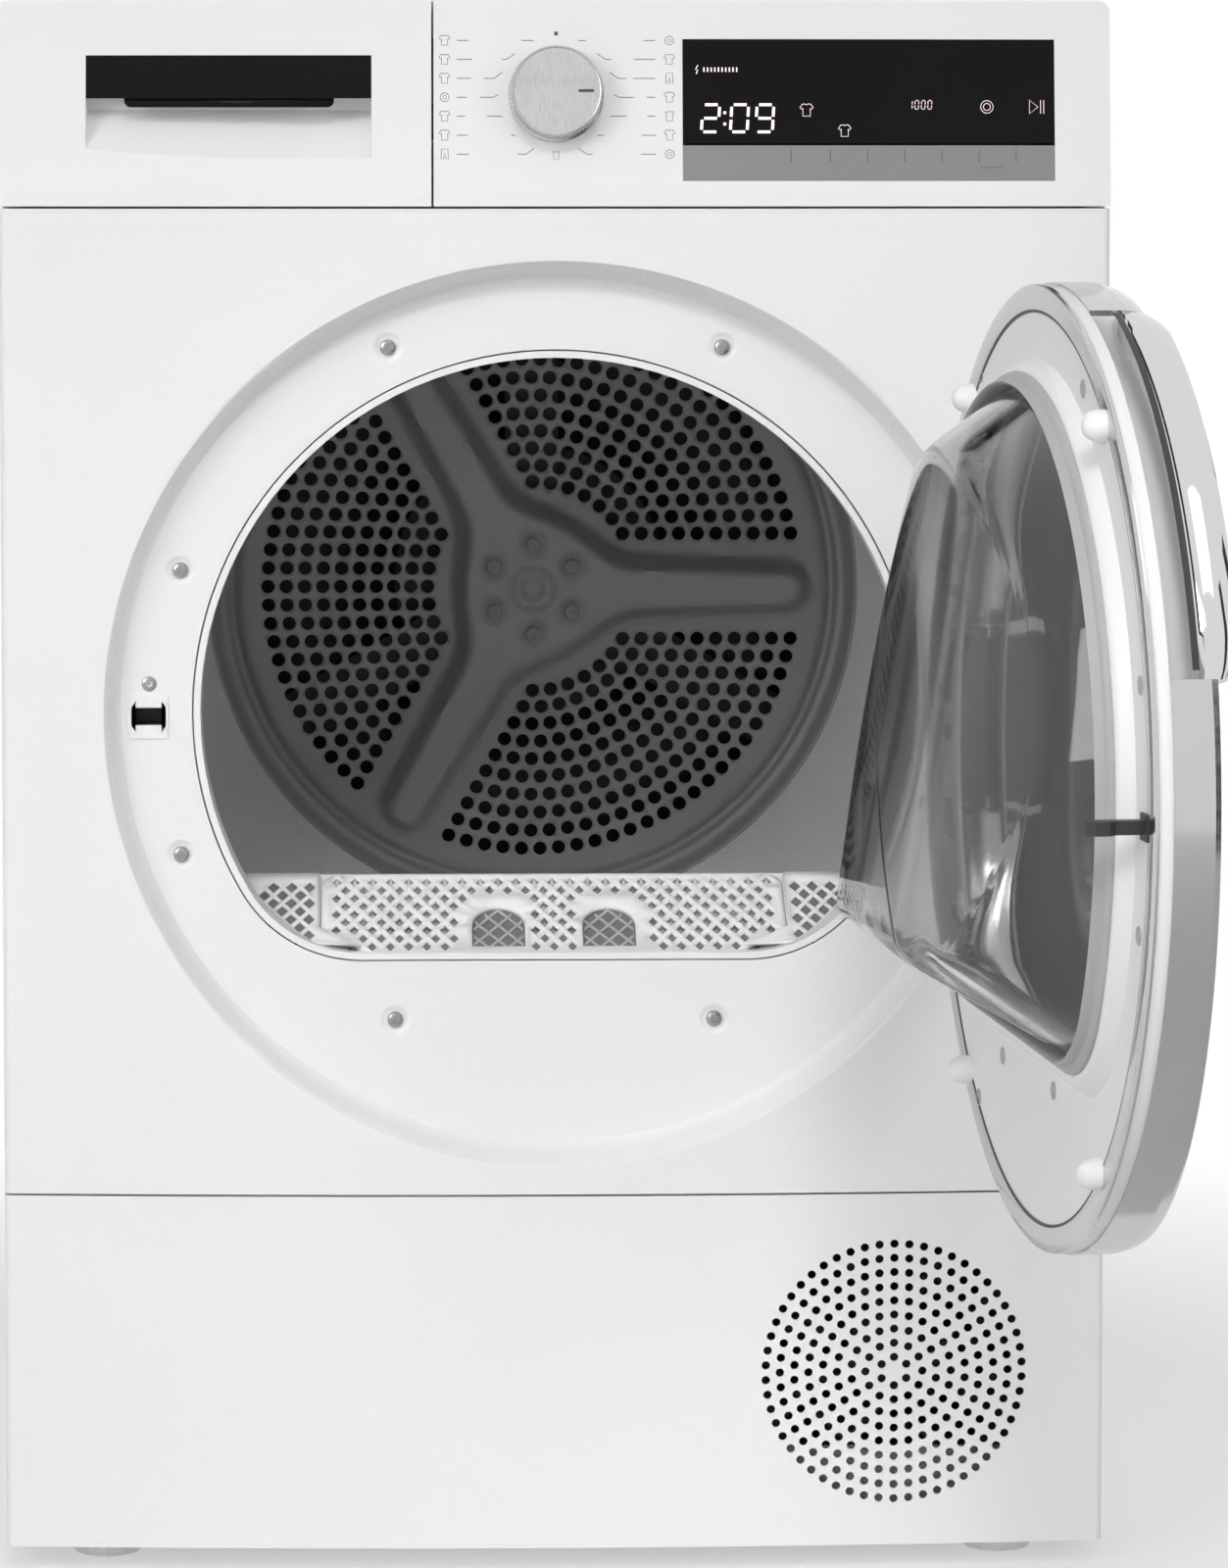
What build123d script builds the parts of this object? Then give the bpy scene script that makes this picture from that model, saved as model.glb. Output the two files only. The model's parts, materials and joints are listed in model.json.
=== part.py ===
from build123d import *
from math import atan2, cos, degrees, radians, sin, sqrt
import os

# Free-standing front-loading clothes dryer with a heat pump, in millimetres.
# X runs to the right, Y to the rear and Z up. The origin is on the floor, under the
# middle of the cabinet. The round door stands open at rest.

os.makedirs("parts", exist_ok=True)

# ---------------------------------------------------------------- driving dimensions
# Cabinet
width = 595.0
depth = 600.0
height = 850.0
sheet = 1.2
front_bow = 10.0
return_depth = 24.0
seam = 1.2
ground_gap = 15.0
lower_front_height = 192.0
front_corner = 4.0
worktop_thickness = 20.0
worktop_edge = 3.0
flange = 12.0

# Control fascia
fascia_height = 110.0
fascia_lean = 13.0
fascia_wall = 2.5
fascia_corner = 6.0
drawer_overhang = 32.5
display_margin = 30.0
display_width = 200.0
strip_drop = 96.5
strip_height = 19.0
display_height = 55.5
panel_glass = 3.0
trim_gap = 0.4

# Program knob
knob_x = 0.0
knob_drop = 50.5
knob_radius = 24.3
knob_base_radius = 25.5
knob_height = 17.0
knob_stem_radius = 3.0
knob_stem_length = 16.0
knob_lift = 0.5
knob_skirt = 3.0
insert_radius = 22.8
insert_thickness = 1.2
insert_drop = 0.5
encoder_setback = 8.0
encoder_radius = 8.5
pointer_length = 8.5
pointer_width = 1.6
pointer_inner = 11.3

# Water drawer
scoop_margin = 46.5
scoop_width = 152.5
scoop_drop = 84.5
scoop_depth = 19.0
scoop_shelf = 6.0
slot_rise = 12.0
strip_plate_drop = 52.5
strip_plate_height = 23.0
strip_plate_thickness = 1.5
strip_backing = 0.8
tank_width = 188.0
tank_height = 46.0
tank_rear_gap = 32.0
tank_drop = 72.0
tank_corner = 8.0
guide_wall = 2.0
guide_height = 24.0
guide_start_depth = 36.0
run_gap = 0.4
pour_radius = 20.0
pour_depth = 14.0
pour_setback = 60.0

# Dish around the door and the loading opening
door_z = 467.0
dish_radius = 242.5
dish_floor_radius = 236.7
dish_depth = 24.0
opening_radius = 196.0
opening_flat = 135.5
opening_corner = 75.0
latch_x = -219.3
latch_drop = 2.0
latch_width = 22.0
latch_height = 24.6
latch_depth = 19.0
latch_slot_width = 17.0
latch_slot_height = 8.6
latch_wall = 1.5

# Door
door_open = 96.3
hinge_x = 224.0
hinge_ahead = 8.0
door_inner_depth = 12.0
door_radius = 236.5
door_crest = 36.0
panel_rim = 8.0
panel_sheet = 2.5
ring_bulge = 1.5
ring_wall = 2.5
ring_edge = 3.0
ring_lip_radius = 197.0
ring_lip_bottom = 26.0
window_bottom = 28.0
window_thickness = 3.0
window_crown = 10.0
window_flat_radius = 90.0
gasket_overlap = 6.0
gasket_bottom_overlap = 12.0
gasket_inner_drop = 7.0
gasket_height = 11.7
gasket_taper = 20.0
bowl_wall = 4.0
bowl_base_radius = 184.0
bowl_base_flat = 128.0
bowl_base_corner = 70.0
bowl_middle_radius = 168.0
bowl_middle_flat = 117.0
bowl_middle_corner = 62.0
bowl_middle_rise = 4.0
bowl_middle_depth = 34.0
bowl_end_radius = 125.0
bowl_end_flat = 84.0
bowl_end_corner = 50.0
bowl_end_rise = 15.0
bowl_depth = 76.0
bowl_tilt = 11.5
bowl_flange = 8.0
bowl_hole_gap = 0.8
grip_start = 16.0
grip_end = 72.0
grip_inner_radius = 222.0
grip_outer_radius = 239.0
grip_bottom = 21.0
grip_bulge = 7.0
grip_round = 4.0
pocket_radius = 212.5
hook_u = -219.3
hook_width = 10.0
hook_height = 6.4
hook_reach = 28.0
hook_beak = 3.5
hook_foot = 1.5
buffer_radius = 7.5
buffer_u = 140.0
buffer_v = 175.0
buffer_height = 11.7
pin_radius = 2.5
pin_clearance = 0.1
ear_spacing = 92.0
ear_thickness = 5.0
ear_half_width = 4.0
ear_nose_radius = 5.5
ear_notch_gap = 1.2
ear_notch_height = 28.9
bracket_half_height = 58.0
bracket_width = 21.0
bracket_plate = 2.5
leaf_plate = 2.5
leaf_reach = 18.0
leaf_foot = 10.0
knuckle_radius = 6.0
knuckle_half_length = 43.0

# Front bulkhead, drum seal and lint filter
bulkhead_depth = 46.0
bulkhead_wall = 3.0
bulkhead_bottom = 225.0
lip_wall = 3.7
lip_gap = 0.8
collar_length = 21.0
collar_wall = 3.2
seal_length = 12.0
seal_thickness = 4.4
filter_half_width = 127.0
filter_front_half_width = 99.0
filter_shoulder_depth = 45.0
filter_plate = 3.5
filter_front_depth = 27.0
filter_rear_depth = 85.0
filter_rise = 34.0
filter_corner = 12.0
wing_end = 170.0
wing_depth = 78.0
lattice_pitch = 21.0
lattice_hole = 12.0
lattice_margin = 9.0
window_inner_x = 15.7
window_width = 29.0
window_start_depth = 37.0
window_end_depth = 62.0
bag_half_width = 110.0
bag_front_depth = 34.0
bag_rear_depth = 44.0
bag_bottom = 232.0
well_wall = 2.0
well_clearance = 2.0
pan_drop = 11.0
pan_wall = 2.0

# Drum
drum_z = 492.5
drum_radius = 283.0
drum_front_depth = 62.0
drum_lip_radius = 240.0
drum_sheet = 1.2
lip_turn = 12.0
cone_length = 52.0
rear_wall_corner = 8.0
rear_wall_radius = 207.5
rear_wall_gap = 10.0
rear_wall_sheet = 2.0
rear_groove_outer = 196.0
rear_groove_inner = 186.0
rear_groove_depth = 7.0
star_height = 25.0
star_hub_radius = 50.0
star_reach = 177.0
star_root_width = 44.0
star_tip_width = 34.0
star_taper = 27.0
star_blend = 24.0
hub_dimple_radius = 13.0
hub_dimple_depth = 6.0
perforation_reach = 176.0
perforation_pitch = 38.0
perforation_size = 9.0
perforation_clear = 60.0
lifter_count = 3
lifter_first_angle = 30.0
lifter_height = 55.0
lifter_root_width = 92.0
lifter_crest_width = 26.0
lifter_end_gap = 45.0
lifter_start_depth = 95.0

# Drum bearings and drive
shaft_radius = 12.5
shaft_flange_radius = 32.0
shaft_flange_thickness = 5.0
shaft_tail = 8.0
bearing_outer_radius = 28.0
bearing_nose = 6.0
bearing_length = 20.0
bearing_collar = 6.0
rear_hub_radius = 46.0
rear_space = 44.0
rear_plate_wall = 2.0
rear_plate_margin = 5.0
rear_plate_drop = 50.0
rear_air_radius = 192.0
spoke_width = 34.0
rear_seal_inner = 224.0
rear_seal_outer = 246.0
rear_seal_thickness = 8.0
roller_radius = 25.0
roller_width = 20.0
roller_angle = 38.0
roller_gap = 0.3
roller_depth = 70.0
axle_radius = 5.0
axle_cap = 2.5
axle_cap_radius = 8.0
belt_depth = 372.0
belt_width = 11.0
belt_thickness = 2.4
pulley_radius = 12.0
pulley_rim = 2.6
blower_side_gap = 19.3
motor_z = 118.0
motor_radius = 52.0
motor_start_depth = 236.0
motor_length = 128.0
motor_sides = 16
motor_nose = 5.0
motor_shaft_radius = 6.0
blower_depth = 396.0
blower_length = 60.0
blower_radius = 82.0
blower_wall = 2.0
blower_foot = 16.0
blower_wheel_radius = 68.0
blower_blades = 12
blower_blade_slant = 25.0
blower_inlet_radius = 48.0
outlet_width = 76.0
outlet_height = 37.0
outlet_drum_gap = 4.73

# Cooling fan behind the round grille
grille_margin = 114.3
grille_z = 110.0
grille_rings = 3
grille_pitch = 22.0
grille_hole_radius = 6.2
shroud_side = 152.0
shroud_start_depth = 40.0
shroud_depth = 40.0
shroud_wall = 2.5
shroud_support = 12.0
fan_radius = 66.0
fan_hub_radius = 22.0
fan_pin_radius = 3.0
fan_blades = 7
fan_blade_width = 38.0
fan_blade_thickness = 2.0
fan_blade_gap = 2.5
fan_blade_twist = 32.0
fan_width = 22.0
fan_setback = 10.0
grid_bars = 4
grid_bar_width = 2.4

# Base and heat pump
tray_bottom = 9.0
tray_floor = 4.0
tray_height = 52.0
tray_wall = 3.0
tray_front_depth = 36.0
tray_edge = 6.0
plinth_height = 8.0
foot_inset_x = 52.0
foot_inset_front = 62.0
foot_inset_rear = 46.0
foot_pad_radius = 19.0
foot_pad_height = 8.6
foot_pad_sides = 12
foot_stud_radius = 5.0
foot_stud_length = 36.0
foot_boss_radius = 17.0
foot_boss_height = 40.0
duct_left = -134.0
duct_right = 66.0
duct_top = 196.0
duct_wall = 3.0
duct_end_depth = 360.0
neck_front_depth = 36.0
neck_wall = 2.0
evaporator_depth = 140.0
evaporator_length = 80.0
condenser_depth = 236.0
condenser_length = 108.0
coil_gap = 6.0
coil_fins = 14
fin_thickness = 2.0
coil_web = 8.0
compressor_side_gap = 24.3
compressor_depth = 430.0
compressor_radius = 58.0
compressor_height = 150.0
compressor_dome = 22.0
pipe_radius = 4.0
pipe_bend = 16.0
pipe_height = 216.0

# Rear
cover_radius = 88.0
cover_wall = 3.0
louvre_count = 7
louvre_pitch = 14.0
louvre_length = 70.0
louvre_slot = 5.0
gland_margin = 61.5
gland_drop = 72.0
gland_radius = 11.0
gland_bore = 4.2
gland_length = 16.0

# ------------------------------------------------------------------ derived sizes
front_y = -depth / 2
rear_y = depth / 2
half_width = width / 2
bow_radius = (width**2 / 4 + front_bow**2) / (2 * front_bow)
frame_y = front_y + front_bow + return_depth
lower_front_top = ground_gap + lower_front_height
fascia_bottom = height - fascia_height
panel_bottom = lower_front_top + seam
panel_top = fascia_bottom - seam
worktop_bottom = height - worktop_thickness
side_inner = half_width - sheet
lean_angle = degrees(atan2(fascia_lean, fascia_height))
lean_way = (0, fascia_lean, fascia_height)
fascia_slant = sqrt(fascia_lean**2 + fascia_height**2)
display_right = half_width - display_margin
display_left = display_right - display_width
strip_bottom = height - strip_drop
strip_top = strip_bottom + strip_height
knob_z = height - knob_drop
scoop_left = -half_width + scoop_margin
scoop_right = scoop_left + scoop_width
scoop_bottom = height - scoop_drop
strip_plate_bottom = height - strip_plate_drop
strip_plate_top = strip_plate_bottom + strip_plate_height
drawer_split_x = scoop_right + drawer_overhang
tank_bottom = height - tank_drop
rear_plate_depth = depth - rear_space
bearing_front_depth = rear_plate_depth - bearing_nose
rear_wall_depth = bearing_front_depth - rear_wall_gap
cone_end_depth = rear_wall_depth - rear_wall_corner
cone_start_depth = cone_end_depth - cone_length
lifter_length = cone_start_depth - lifter_end_gap - lifter_start_depth
tank_length = rear_plate_depth - tank_rear_gap - front_bow - return_depth
rear_plate_top = height - rear_plate_drop
gland_x = -half_width + gland_margin
gland_z = height - gland_drop
grille_x = half_width - grille_margin
display_bottom = strip_top + seam
display_top = display_bottom + display_height
guide_bottom = tank_bottom - run_gap - guide_wall
tank_left = -half_width + flange + 2 * run_gap
tank_right = tank_left + tank_width
tank_middle = tank_left + tank_width / 2
latch_z = door_z - latch_drop
dish_back = dish_depth + sheet
drum_outer = drum_radius + drum_sheet
motor_x = side_inner - blower_side_gap - blower_radius
outlet_left = motor_x - blower_radius
outlet_bottom = drum_z - sqrt(drum_outer**2 - outlet_left**2) - outlet_drum_gap - outlet_height
outlet_x = outlet_left + outlet_width / 2
rear_plate_bottom = outlet_bottom - rear_plate_margin
compressor_x = compressor_side_gap + compressor_radius - side_inner
collar_radius = drum_lip_radius - run_gap - seal_thickness
seal_outer = collar_radius + seal_thickness
plate_back = bulkhead_depth + bulkhead_wall
ring_outer = door_radius + ring_bulge
tray_floor_top = tray_bottom + tray_floor
plinth_top = tray_floor_top + plinth_height
window_radius = ring_lip_radius - run_gap


def setback(distance, x=0.0, z=0.0):
    """An upright plane facing the front, a distance behind the front's crest."""
    return Plane(origin=(x, front_y + distance, z), x_dir=(1, 0, 0), z_dir=(0, -1, 0))


def front_outline(left, right, back_y, inset=0.0):
    """Plan of the bowed front between two side lines, set in behind its face."""
    with BuildSketch() as outline:
        with Locations((0, front_y + bow_radius)):
            Circle(bow_radius - inset)
        with Locations(((left + right) / 2, (front_y + back_y) / 2)):
            Rectangle(right - left, back_y - front_y + 2 * front_bow, mode=Mode.INTERSECT)
        with Locations(((left + right) / 2, back_y + front_bow)):
            Rectangle(right - left + 1, 2 * front_bow, mode=Mode.SUBTRACT)
    return outline.sketch


def d_outline(radius, flat, corner):
    """A circle cut flat below its middle, with both corners rounded."""
    with BuildSketch() as outline:
        Circle(radius)
        with Locations((0, (radius - flat) / 2)):
            Rectangle(2 * radius, radius + flat, mode=Mode.INTERSECT)
        fillet(outline.vertices().group_by(Axis.Y)[0], corner)
    return outline.sketch


def finish(piece, name):
    """Label a finished sub-part and write it."""
    piece.part.label = name
    export_step(piece.part, f"parts/{name}.step")


# ------------------------------------------------------------------ cabinet shell
def side_panel(side):
    """A folded side sheet with a flange along its front, rear and top edges."""
    outer_x = side * half_width
    length = rear_y - sheet - frame_y
    middle_y = frame_y + length / 2
    with BuildPart() as panel:
        with BuildSketch(Plane.XY.offset(ground_gap)):
            with Locations((outer_x - side * flange / 2, middle_y)):
                Rectangle(flange, length)
            with Locations((outer_x - side * (sheet + flange / 2), middle_y)):
                Rectangle(flange, length - 2 * sheet, mode=Mode.SUBTRACT)
        extrude(amount=worktop_bottom - ground_gap)
        with BuildSketch(Plane.XY.offset(worktop_bottom)):
            with Locations((outer_x - side * flange / 2, middle_y)):
                Rectangle(flange, length)
        extrude(amount=-sheet)
    return panel


for side, side_name in ((-1, "side_panel_left"), (1, "side_panel_right")):
    finish(side_panel(side), side_name)

with BuildPart() as worktop:
    with BuildSketch(Plane.XY.offset(worktop_bottom)):
        with Locations((0, (frame_y + rear_y) / 2)):
            Rectangle(width, rear_y - frame_y)
    extrude(amount=worktop_thickness)
    top_edges = worktop.faces().sort_by(Axis.Z)[-1].edges()
    chamfer(top_edges.sort_by(Axis.Y)[1:], worktop_edge / 2)
finish(worktop, "worktop")

with BuildPart() as rear_panel:
    with BuildSketch(setback(depth)):
        with Locations((0, (ground_gap + worktop_bottom) / 2)):
            Rectangle(width, worktop_bottom - ground_gap)
    extrude(amount=sheet)
    # Air louvres low down on both sides
    with BuildSketch(setback(depth)):
        for side in (-1, 1):
            with Locations((side * (half_width - 2 * louvre_length), 2 * louvre_length)):
                with GridLocations(0, louvre_pitch, 1, louvre_count):
                    Rectangle(louvre_length, louvre_slot)
        with Locations((gland_x, gland_z)):
            Circle(gland_radius - gland_bore)
    extrude(amount=sheet, mode=Mode.SUBTRACT)
finish(rear_panel, "rear_panel")

with BuildPart() as bearing_cover:
    with BuildSketch(setback(depth - sheet, 0, drum_z)):
        Circle(cover_radius)
    extrude(amount=cover_wall)
    with BuildSketch(setback(depth - sheet, 0, drum_z)):
        Circle(cover_radius - 3 * cover_wall)
    extrude(amount=cover_wall - sheet, mode=Mode.SUBTRACT)
finish(bearing_cover, "rear_bearing_cover")

with BuildPart() as cable_gland:
    with BuildSketch(setback(depth - gland_length, gland_x, gland_z)):
        Circle(gland_radius - gland_bore)
        Circle(gland_bore, mode=Mode.SUBTRACT)
    extrude(amount=-gland_length)
    with BuildSketch(setback(depth - sheet, gland_x, gland_z)):
        RegularPolygon(gland_radius, 6)
        Circle(gland_bore, mode=Mode.SUBTRACT)
    extrude(amount=3 * sheet)
finish(cable_gland, "cable_gland")

# ------------------------------------------------------------------ front panel
with BuildPart() as dish:
    with BuildSketch(Plane.XY.offset(door_z)):
        with BuildLine():
            Polyline(
                (0, front_y),
                (dish_radius + sheet, front_y),
                (dish_floor_radius + sheet, front_y + dish_back),
                (0, front_y + dish_back),
                close=True,
            )
        make_face()
    revolve(axis=Axis((0, 0, door_z), (0, 1, 0)))
    with BuildSketch(Plane.XY.offset(panel_bottom)):
        add(front_outline(-half_width, half_width, frame_y + dish_back))
    extrude(amount=panel_top - panel_bottom, mode=Mode.INTERSECT)

with BuildPart() as front_panel:
    with BuildSketch(Plane.XY.offset(panel_bottom)):
        add(front_outline(-half_width, half_width, frame_y))
    extrude(amount=panel_top - panel_bottom)
    with BuildSketch(Plane.XY.offset(panel_bottom + sheet)):
        add(front_outline(-side_inner, side_inner, frame_y + sheet, sheet))
    extrude(amount=panel_top - panel_bottom - 2 * sheet, mode=Mode.SUBTRACT)
    add(dish.part)
    with BuildSketch(Plane.XY.offset(door_z)):
        wall_slope = (dish_radius - dish_floor_radius) / dish_depth
        with BuildLine():
            Polyline(
                (0, front_y - sheet),
                (dish_radius + wall_slope * sheet, front_y - sheet),
                (dish_floor_radius, front_y + dish_depth),
                (0, front_y + dish_depth),
                close=True,
            )
        make_face()
    revolve(axis=Axis((0, 0, door_z), (0, 1, 0)), mode=Mode.SUBTRACT)
    with BuildSketch(setback(dish_depth, 0, door_z)):
        add(d_outline(opening_radius, opening_flat, opening_corner))
        with Locations((latch_x, -latch_drop)):
            Rectangle(latch_width, latch_height)
    extrude(amount=-sheet, mode=Mode.SUBTRACT)
finish(front_panel, "front_panel")

# ------------------------------------------------------------------ lower front panel
with BuildPart() as lower_front_panel:
    with BuildSketch(Plane.XY.offset(ground_gap)):
        add(front_outline(-half_width, half_width, frame_y))
    extrude(amount=lower_front_height)
    side_faces = lower_front_panel.faces().filter_by(Axis.X)
    fillet(side_faces.edges().filter_by(Axis.Y), front_corner)
    with BuildSketch(Plane.XY.offset(ground_gap + sheet)):
        add(front_outline(-side_inner, side_inner, frame_y + sheet, sheet))
    extrude(amount=lower_front_height - 2 * sheet, mode=Mode.SUBTRACT)
    with BuildSketch(setback(0, grille_x, grille_z)):
        for ring in range(1, grille_rings + 1):
            with PolarLocations(ring * grille_pitch, 6 * ring, start_angle=90):
                RegularPolygon(grille_hole_radius, 6)
    extrude(amount=-front_bow, mode=Mode.SUBTRACT)
finish(lower_front_panel, "lower_front_panel")

# ------------------------------------------------------------------ control fascia


def fascia_block(left, right, lower, upper, inset=0.0, back=frame_y):
    """A block of the bowed front that leans back, squared off at its sides and behind."""
    with BuildPart(mode=Mode.PRIVATE) as block:
        with BuildSketch(Plane.XY.offset(fascia_bottom)):
            add(front_outline(left, right, back, inset))
        extrude(amount=fascia_slant, dir=lean_way)
        with BuildSketch(setback(0, (left + right) / 2, (lower + upper) / 2)):
            Rectangle(right - left, upper - lower)
        extrude(amount=-(back - front_y), mode=Mode.INTERSECT)
    return block.part


def fascia_band(left, right, lower, upper, front, back):
    """A thin plate that follows the fascia between two depths below its face."""
    with BuildPart(mode=Mode.PRIVATE) as band:
        add(fascia_block(left, right, lower, upper, front))
        add(fascia_block(left - 1, right + 1, lower - 1, upper + 1, back), mode=Mode.SUBTRACT)
    return band.part


def fascia_shell(left, right, corner_side):
    """A hollow length of the fascia with its outer top corner rounded."""
    with BuildPart(mode=Mode.PRIVATE) as shell:
        add(fascia_block(left, right, fascia_bottom, height))
        top_edges = shell.edges().filter_by(Axis.Y).group_by(Axis.Z)[-1]
        fillet(top_edges.sort_by(Axis.X)[corner_side], fascia_corner)
        add(
            fascia_block(
                left + fascia_wall,
                right - fascia_wall,
                fascia_bottom + fascia_wall,
                height - fascia_wall,
                fascia_wall,
            ),
            mode=Mode.SUBTRACT,
        )
    return shell.part


def face_y(z):
    """Where the crest of the leaning fascia is, at a height."""
    return front_y + fascia_lean * (z - fascia_bottom) / fascia_height


def section_of(plane):
    """The plane through a plane's own axis, with that axis as its Y."""
    return Plane(origin=plane.origin, x_dir=plane.x_dir, z_dir=-plane.y_dir)


knob_plane = Plane(
    origin=(knob_x, face_y(knob_z), knob_z),
    x_dir=(1, 0, 0),
    z_dir=(0, -cos(radians(lean_angle)), sin(radians(lean_angle))),
)
fascia_left = drawer_split_x + seam / 2
board_top = display_top + trim_gap
board_y = frame_y - fascia_wall

with BuildPart() as control_fascia:
    add(fascia_shell(fascia_left, half_width, -1))
    with BuildSketch(knob_plane):
        Circle(knob_stem_radius + run_gap)
    extrude(amount=-2 * fascia_wall, mode=Mode.SUBTRACT)
    with BuildSketch(setback(0, display_left + display_width / 2, (strip_bottom + display_top) / 2)):
        Rectangle(display_width, display_top - strip_bottom)
    extrude(amount=-(frame_y - front_y), mode=Mode.SUBTRACT)
finish(control_fascia, "control_fascia")

with BuildPart() as display_window:
    add(fascia_band(display_left, display_right, display_bottom, display_top, trim_gap, panel_glass))
finish(display_window, "display_window")

with BuildPart() as touch_strip:
    add(fascia_band(display_left, display_right, strip_bottom, strip_top, trim_gap, panel_glass))
finish(touch_strip, "touch_strip")

encoder_length = (board_y + fascia_wall / 2 - face_y(knob_z)) / cos(radians(lean_angle))

with BuildPart() as control_board:
    with BuildSketch(setback(board_y - front_y)):
        with Locations(((fascia_left + display_right) / 2, (fascia_bottom + fascia_wall + board_top) / 2)):
            Rectangle(
                display_right - fascia_left - 4 * fascia_wall,
                board_top - fascia_bottom - fascia_wall,
            )
    extrude(amount=-fascia_wall)
    # Encoder housing around the knob's stem
    with BuildSketch(knob_plane.offset(-encoder_setback)):
        Circle(encoder_radius)
    extrude(amount=encoder_setback - encoder_length)
    with BuildSketch(knob_plane.offset(-encoder_setback)):
        Circle(knob_stem_radius + pin_clearance)
    extrude(amount=encoder_setback - knob_stem_length - run_gap, mode=Mode.SUBTRACT)
finish(control_board, "control_board")

# ------------------------------------------------------------------ program knob
insert_back = knob_height - insert_drop - insert_thickness

with BuildPart() as program_knob:
    with BuildSketch(section_of(knob_plane)):
        with BuildLine():
            Polyline(
                (0, -knob_stem_length),
                (knob_stem_radius, -knob_stem_length),
                (knob_stem_radius, knob_lift),
                (knob_base_radius, knob_lift),
                (knob_radius, knob_skirt),
                (knob_radius - insert_drop, knob_height),
                (insert_radius + pin_clearance, knob_height),
                (insert_radius + pin_clearance, insert_back),
                (0, insert_back),
                close=True,
            )
        make_face()
    revolve(axis=Axis(knob_plane.origin, knob_plane.z_dir))
finish(program_knob, "program_knob")

with BuildPart() as knob_insert:
    with BuildSketch(knob_plane.offset(insert_back)):
        Circle(insert_radius)
    extrude(amount=insert_thickness)
    # Pointer groove
    with BuildSketch(knob_plane.offset(insert_back + insert_thickness)):
        with Locations((pointer_inner + pointer_length / 2, 0)):
            SlotOverall(pointer_length, pointer_width)
    extrude(amount=-insert_thickness / 2, mode=Mode.SUBTRACT)
finish(knob_insert, "knob_insert")

# ------------------------------------------------------------------ water drawer
drawer_right = drawer_split_x - seam / 2
scoop_middle = (scoop_left + scoop_right) / 2
scoop_bow = bow_radius - sqrt(bow_radius**2 - scoop_middle**2)
scoop_back = face_y(strip_plate_bottom) + scoop_bow + scoop_depth
slot_top = strip_plate_bottom + slot_rise
slot_bow = bow_radius - sqrt(bow_radius**2 - scoop_left**2)
slot_front = face_y(slot_top) + slot_bow + strip_plate_thickness + strip_backing

with BuildPart() as drawer_front:
    add(fascia_shell(-half_width, drawer_right, 0))
    # Solid moulding that holds the finger scoop, which rises behind the label strip
    add(
        fascia_block(
            scoop_left - fascia_wall,
            scoop_right + fascia_wall,
            scoop_bottom - fascia_wall,
            strip_plate_top + fascia_wall,
        )
    )
    with BuildSketch(Plane(origin=(scoop_left, 0, 0), x_dir=(0, 1, 0), z_dir=(1, 0, 0))):
        with BuildLine():
            Polyline(
                (front_y - 1, scoop_bottom),
                (face_y(scoop_bottom) + scoop_bow, scoop_bottom),
                (scoop_back, strip_plate_bottom - scoop_shelf),
                (scoop_back, slot_top),
                (slot_front, slot_top),
                (slot_front, strip_plate_bottom),
                (front_y - 1, strip_plate_bottom),
                close=True,
            )
        make_face()
    extrude(amount=scoop_width, mode=Mode.SUBTRACT)
    add(
        fascia_band(
            scoop_left,
            scoop_right,
            strip_plate_bottom,
            strip_plate_top,
            -strip_plate_thickness,
            strip_plate_thickness,
        ),
        mode=Mode.SUBTRACT,
    )
finish(drawer_front, "drawer_front")

with BuildPart() as label_strip:
    add(
        fascia_band(
            scoop_left,
            scoop_right,
            strip_plate_bottom,
            strip_plate_top,
            0,
            strip_plate_thickness,
        )
    )
finish(label_strip, "drawer_label_strip")

with BuildPart() as water_tank:
    with BuildSketch(Plane.XZ.offset(-frame_y)):
        with Locations((tank_middle, tank_bottom + tank_height / 2)):
            RectangleRounded(tank_width, tank_height, tank_corner)
    extrude(amount=-tank_length)
    # Pouring mouth in the top, near the front
    with BuildSketch(Plane.XY.offset(tank_bottom + tank_height)):
        with Locations((tank_middle, frame_y + pour_setback)):
            Circle(pour_radius)
    extrude(amount=-pour_depth, mode=Mode.SUBTRACT)
finish(water_tank, "water_tank")

with BuildPart() as tank_guide:
    guide_front = front_y + guide_start_depth
    guide_end = front_y + rear_plate_depth
    guide_right = tank_right + run_gap + guide_wall
    with BuildSketch(Plane.XZ.offset(-guide_front)):
        with Locations(((guide_right - side_inner) / 2, guide_bottom + guide_wall / 2)):
            Rectangle(guide_right + side_inner, guide_wall)
        for wall_x in (tank_left - run_gap - guide_wall / 2, guide_right - guide_wall / 2):
            with Locations((wall_x, guide_bottom + guide_height / 2)):
                Rectangle(guide_wall, guide_height)
    extrude(amount=-(guide_end - guide_front))
finish(tank_guide, "tank_guide")

# ------------------------------------------------------------------ door latch and hinge bracket
with BuildPart() as door_latch:
    with BuildSketch(setback(dish_depth, latch_x, latch_z)):
        Rectangle(latch_width, latch_height)
    extrude(amount=-latch_depth)
    with BuildSketch(setback(dish_back, latch_x, latch_z)):
        Rectangle(latch_width, latch_height + 4 * latch_wall)
    extrude(amount=-latch_wall)
    with BuildSketch(setback(dish_depth, latch_x, latch_z)):
        Rectangle(latch_slot_width, latch_slot_height)
    extrude(amount=latch_wall - latch_depth, mode=Mode.SUBTRACT)
finish(door_latch, "door_latch")

pin_y = front_y - hinge_ahead
ear_top = (ear_spacing + ear_thickness) / 2

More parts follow.
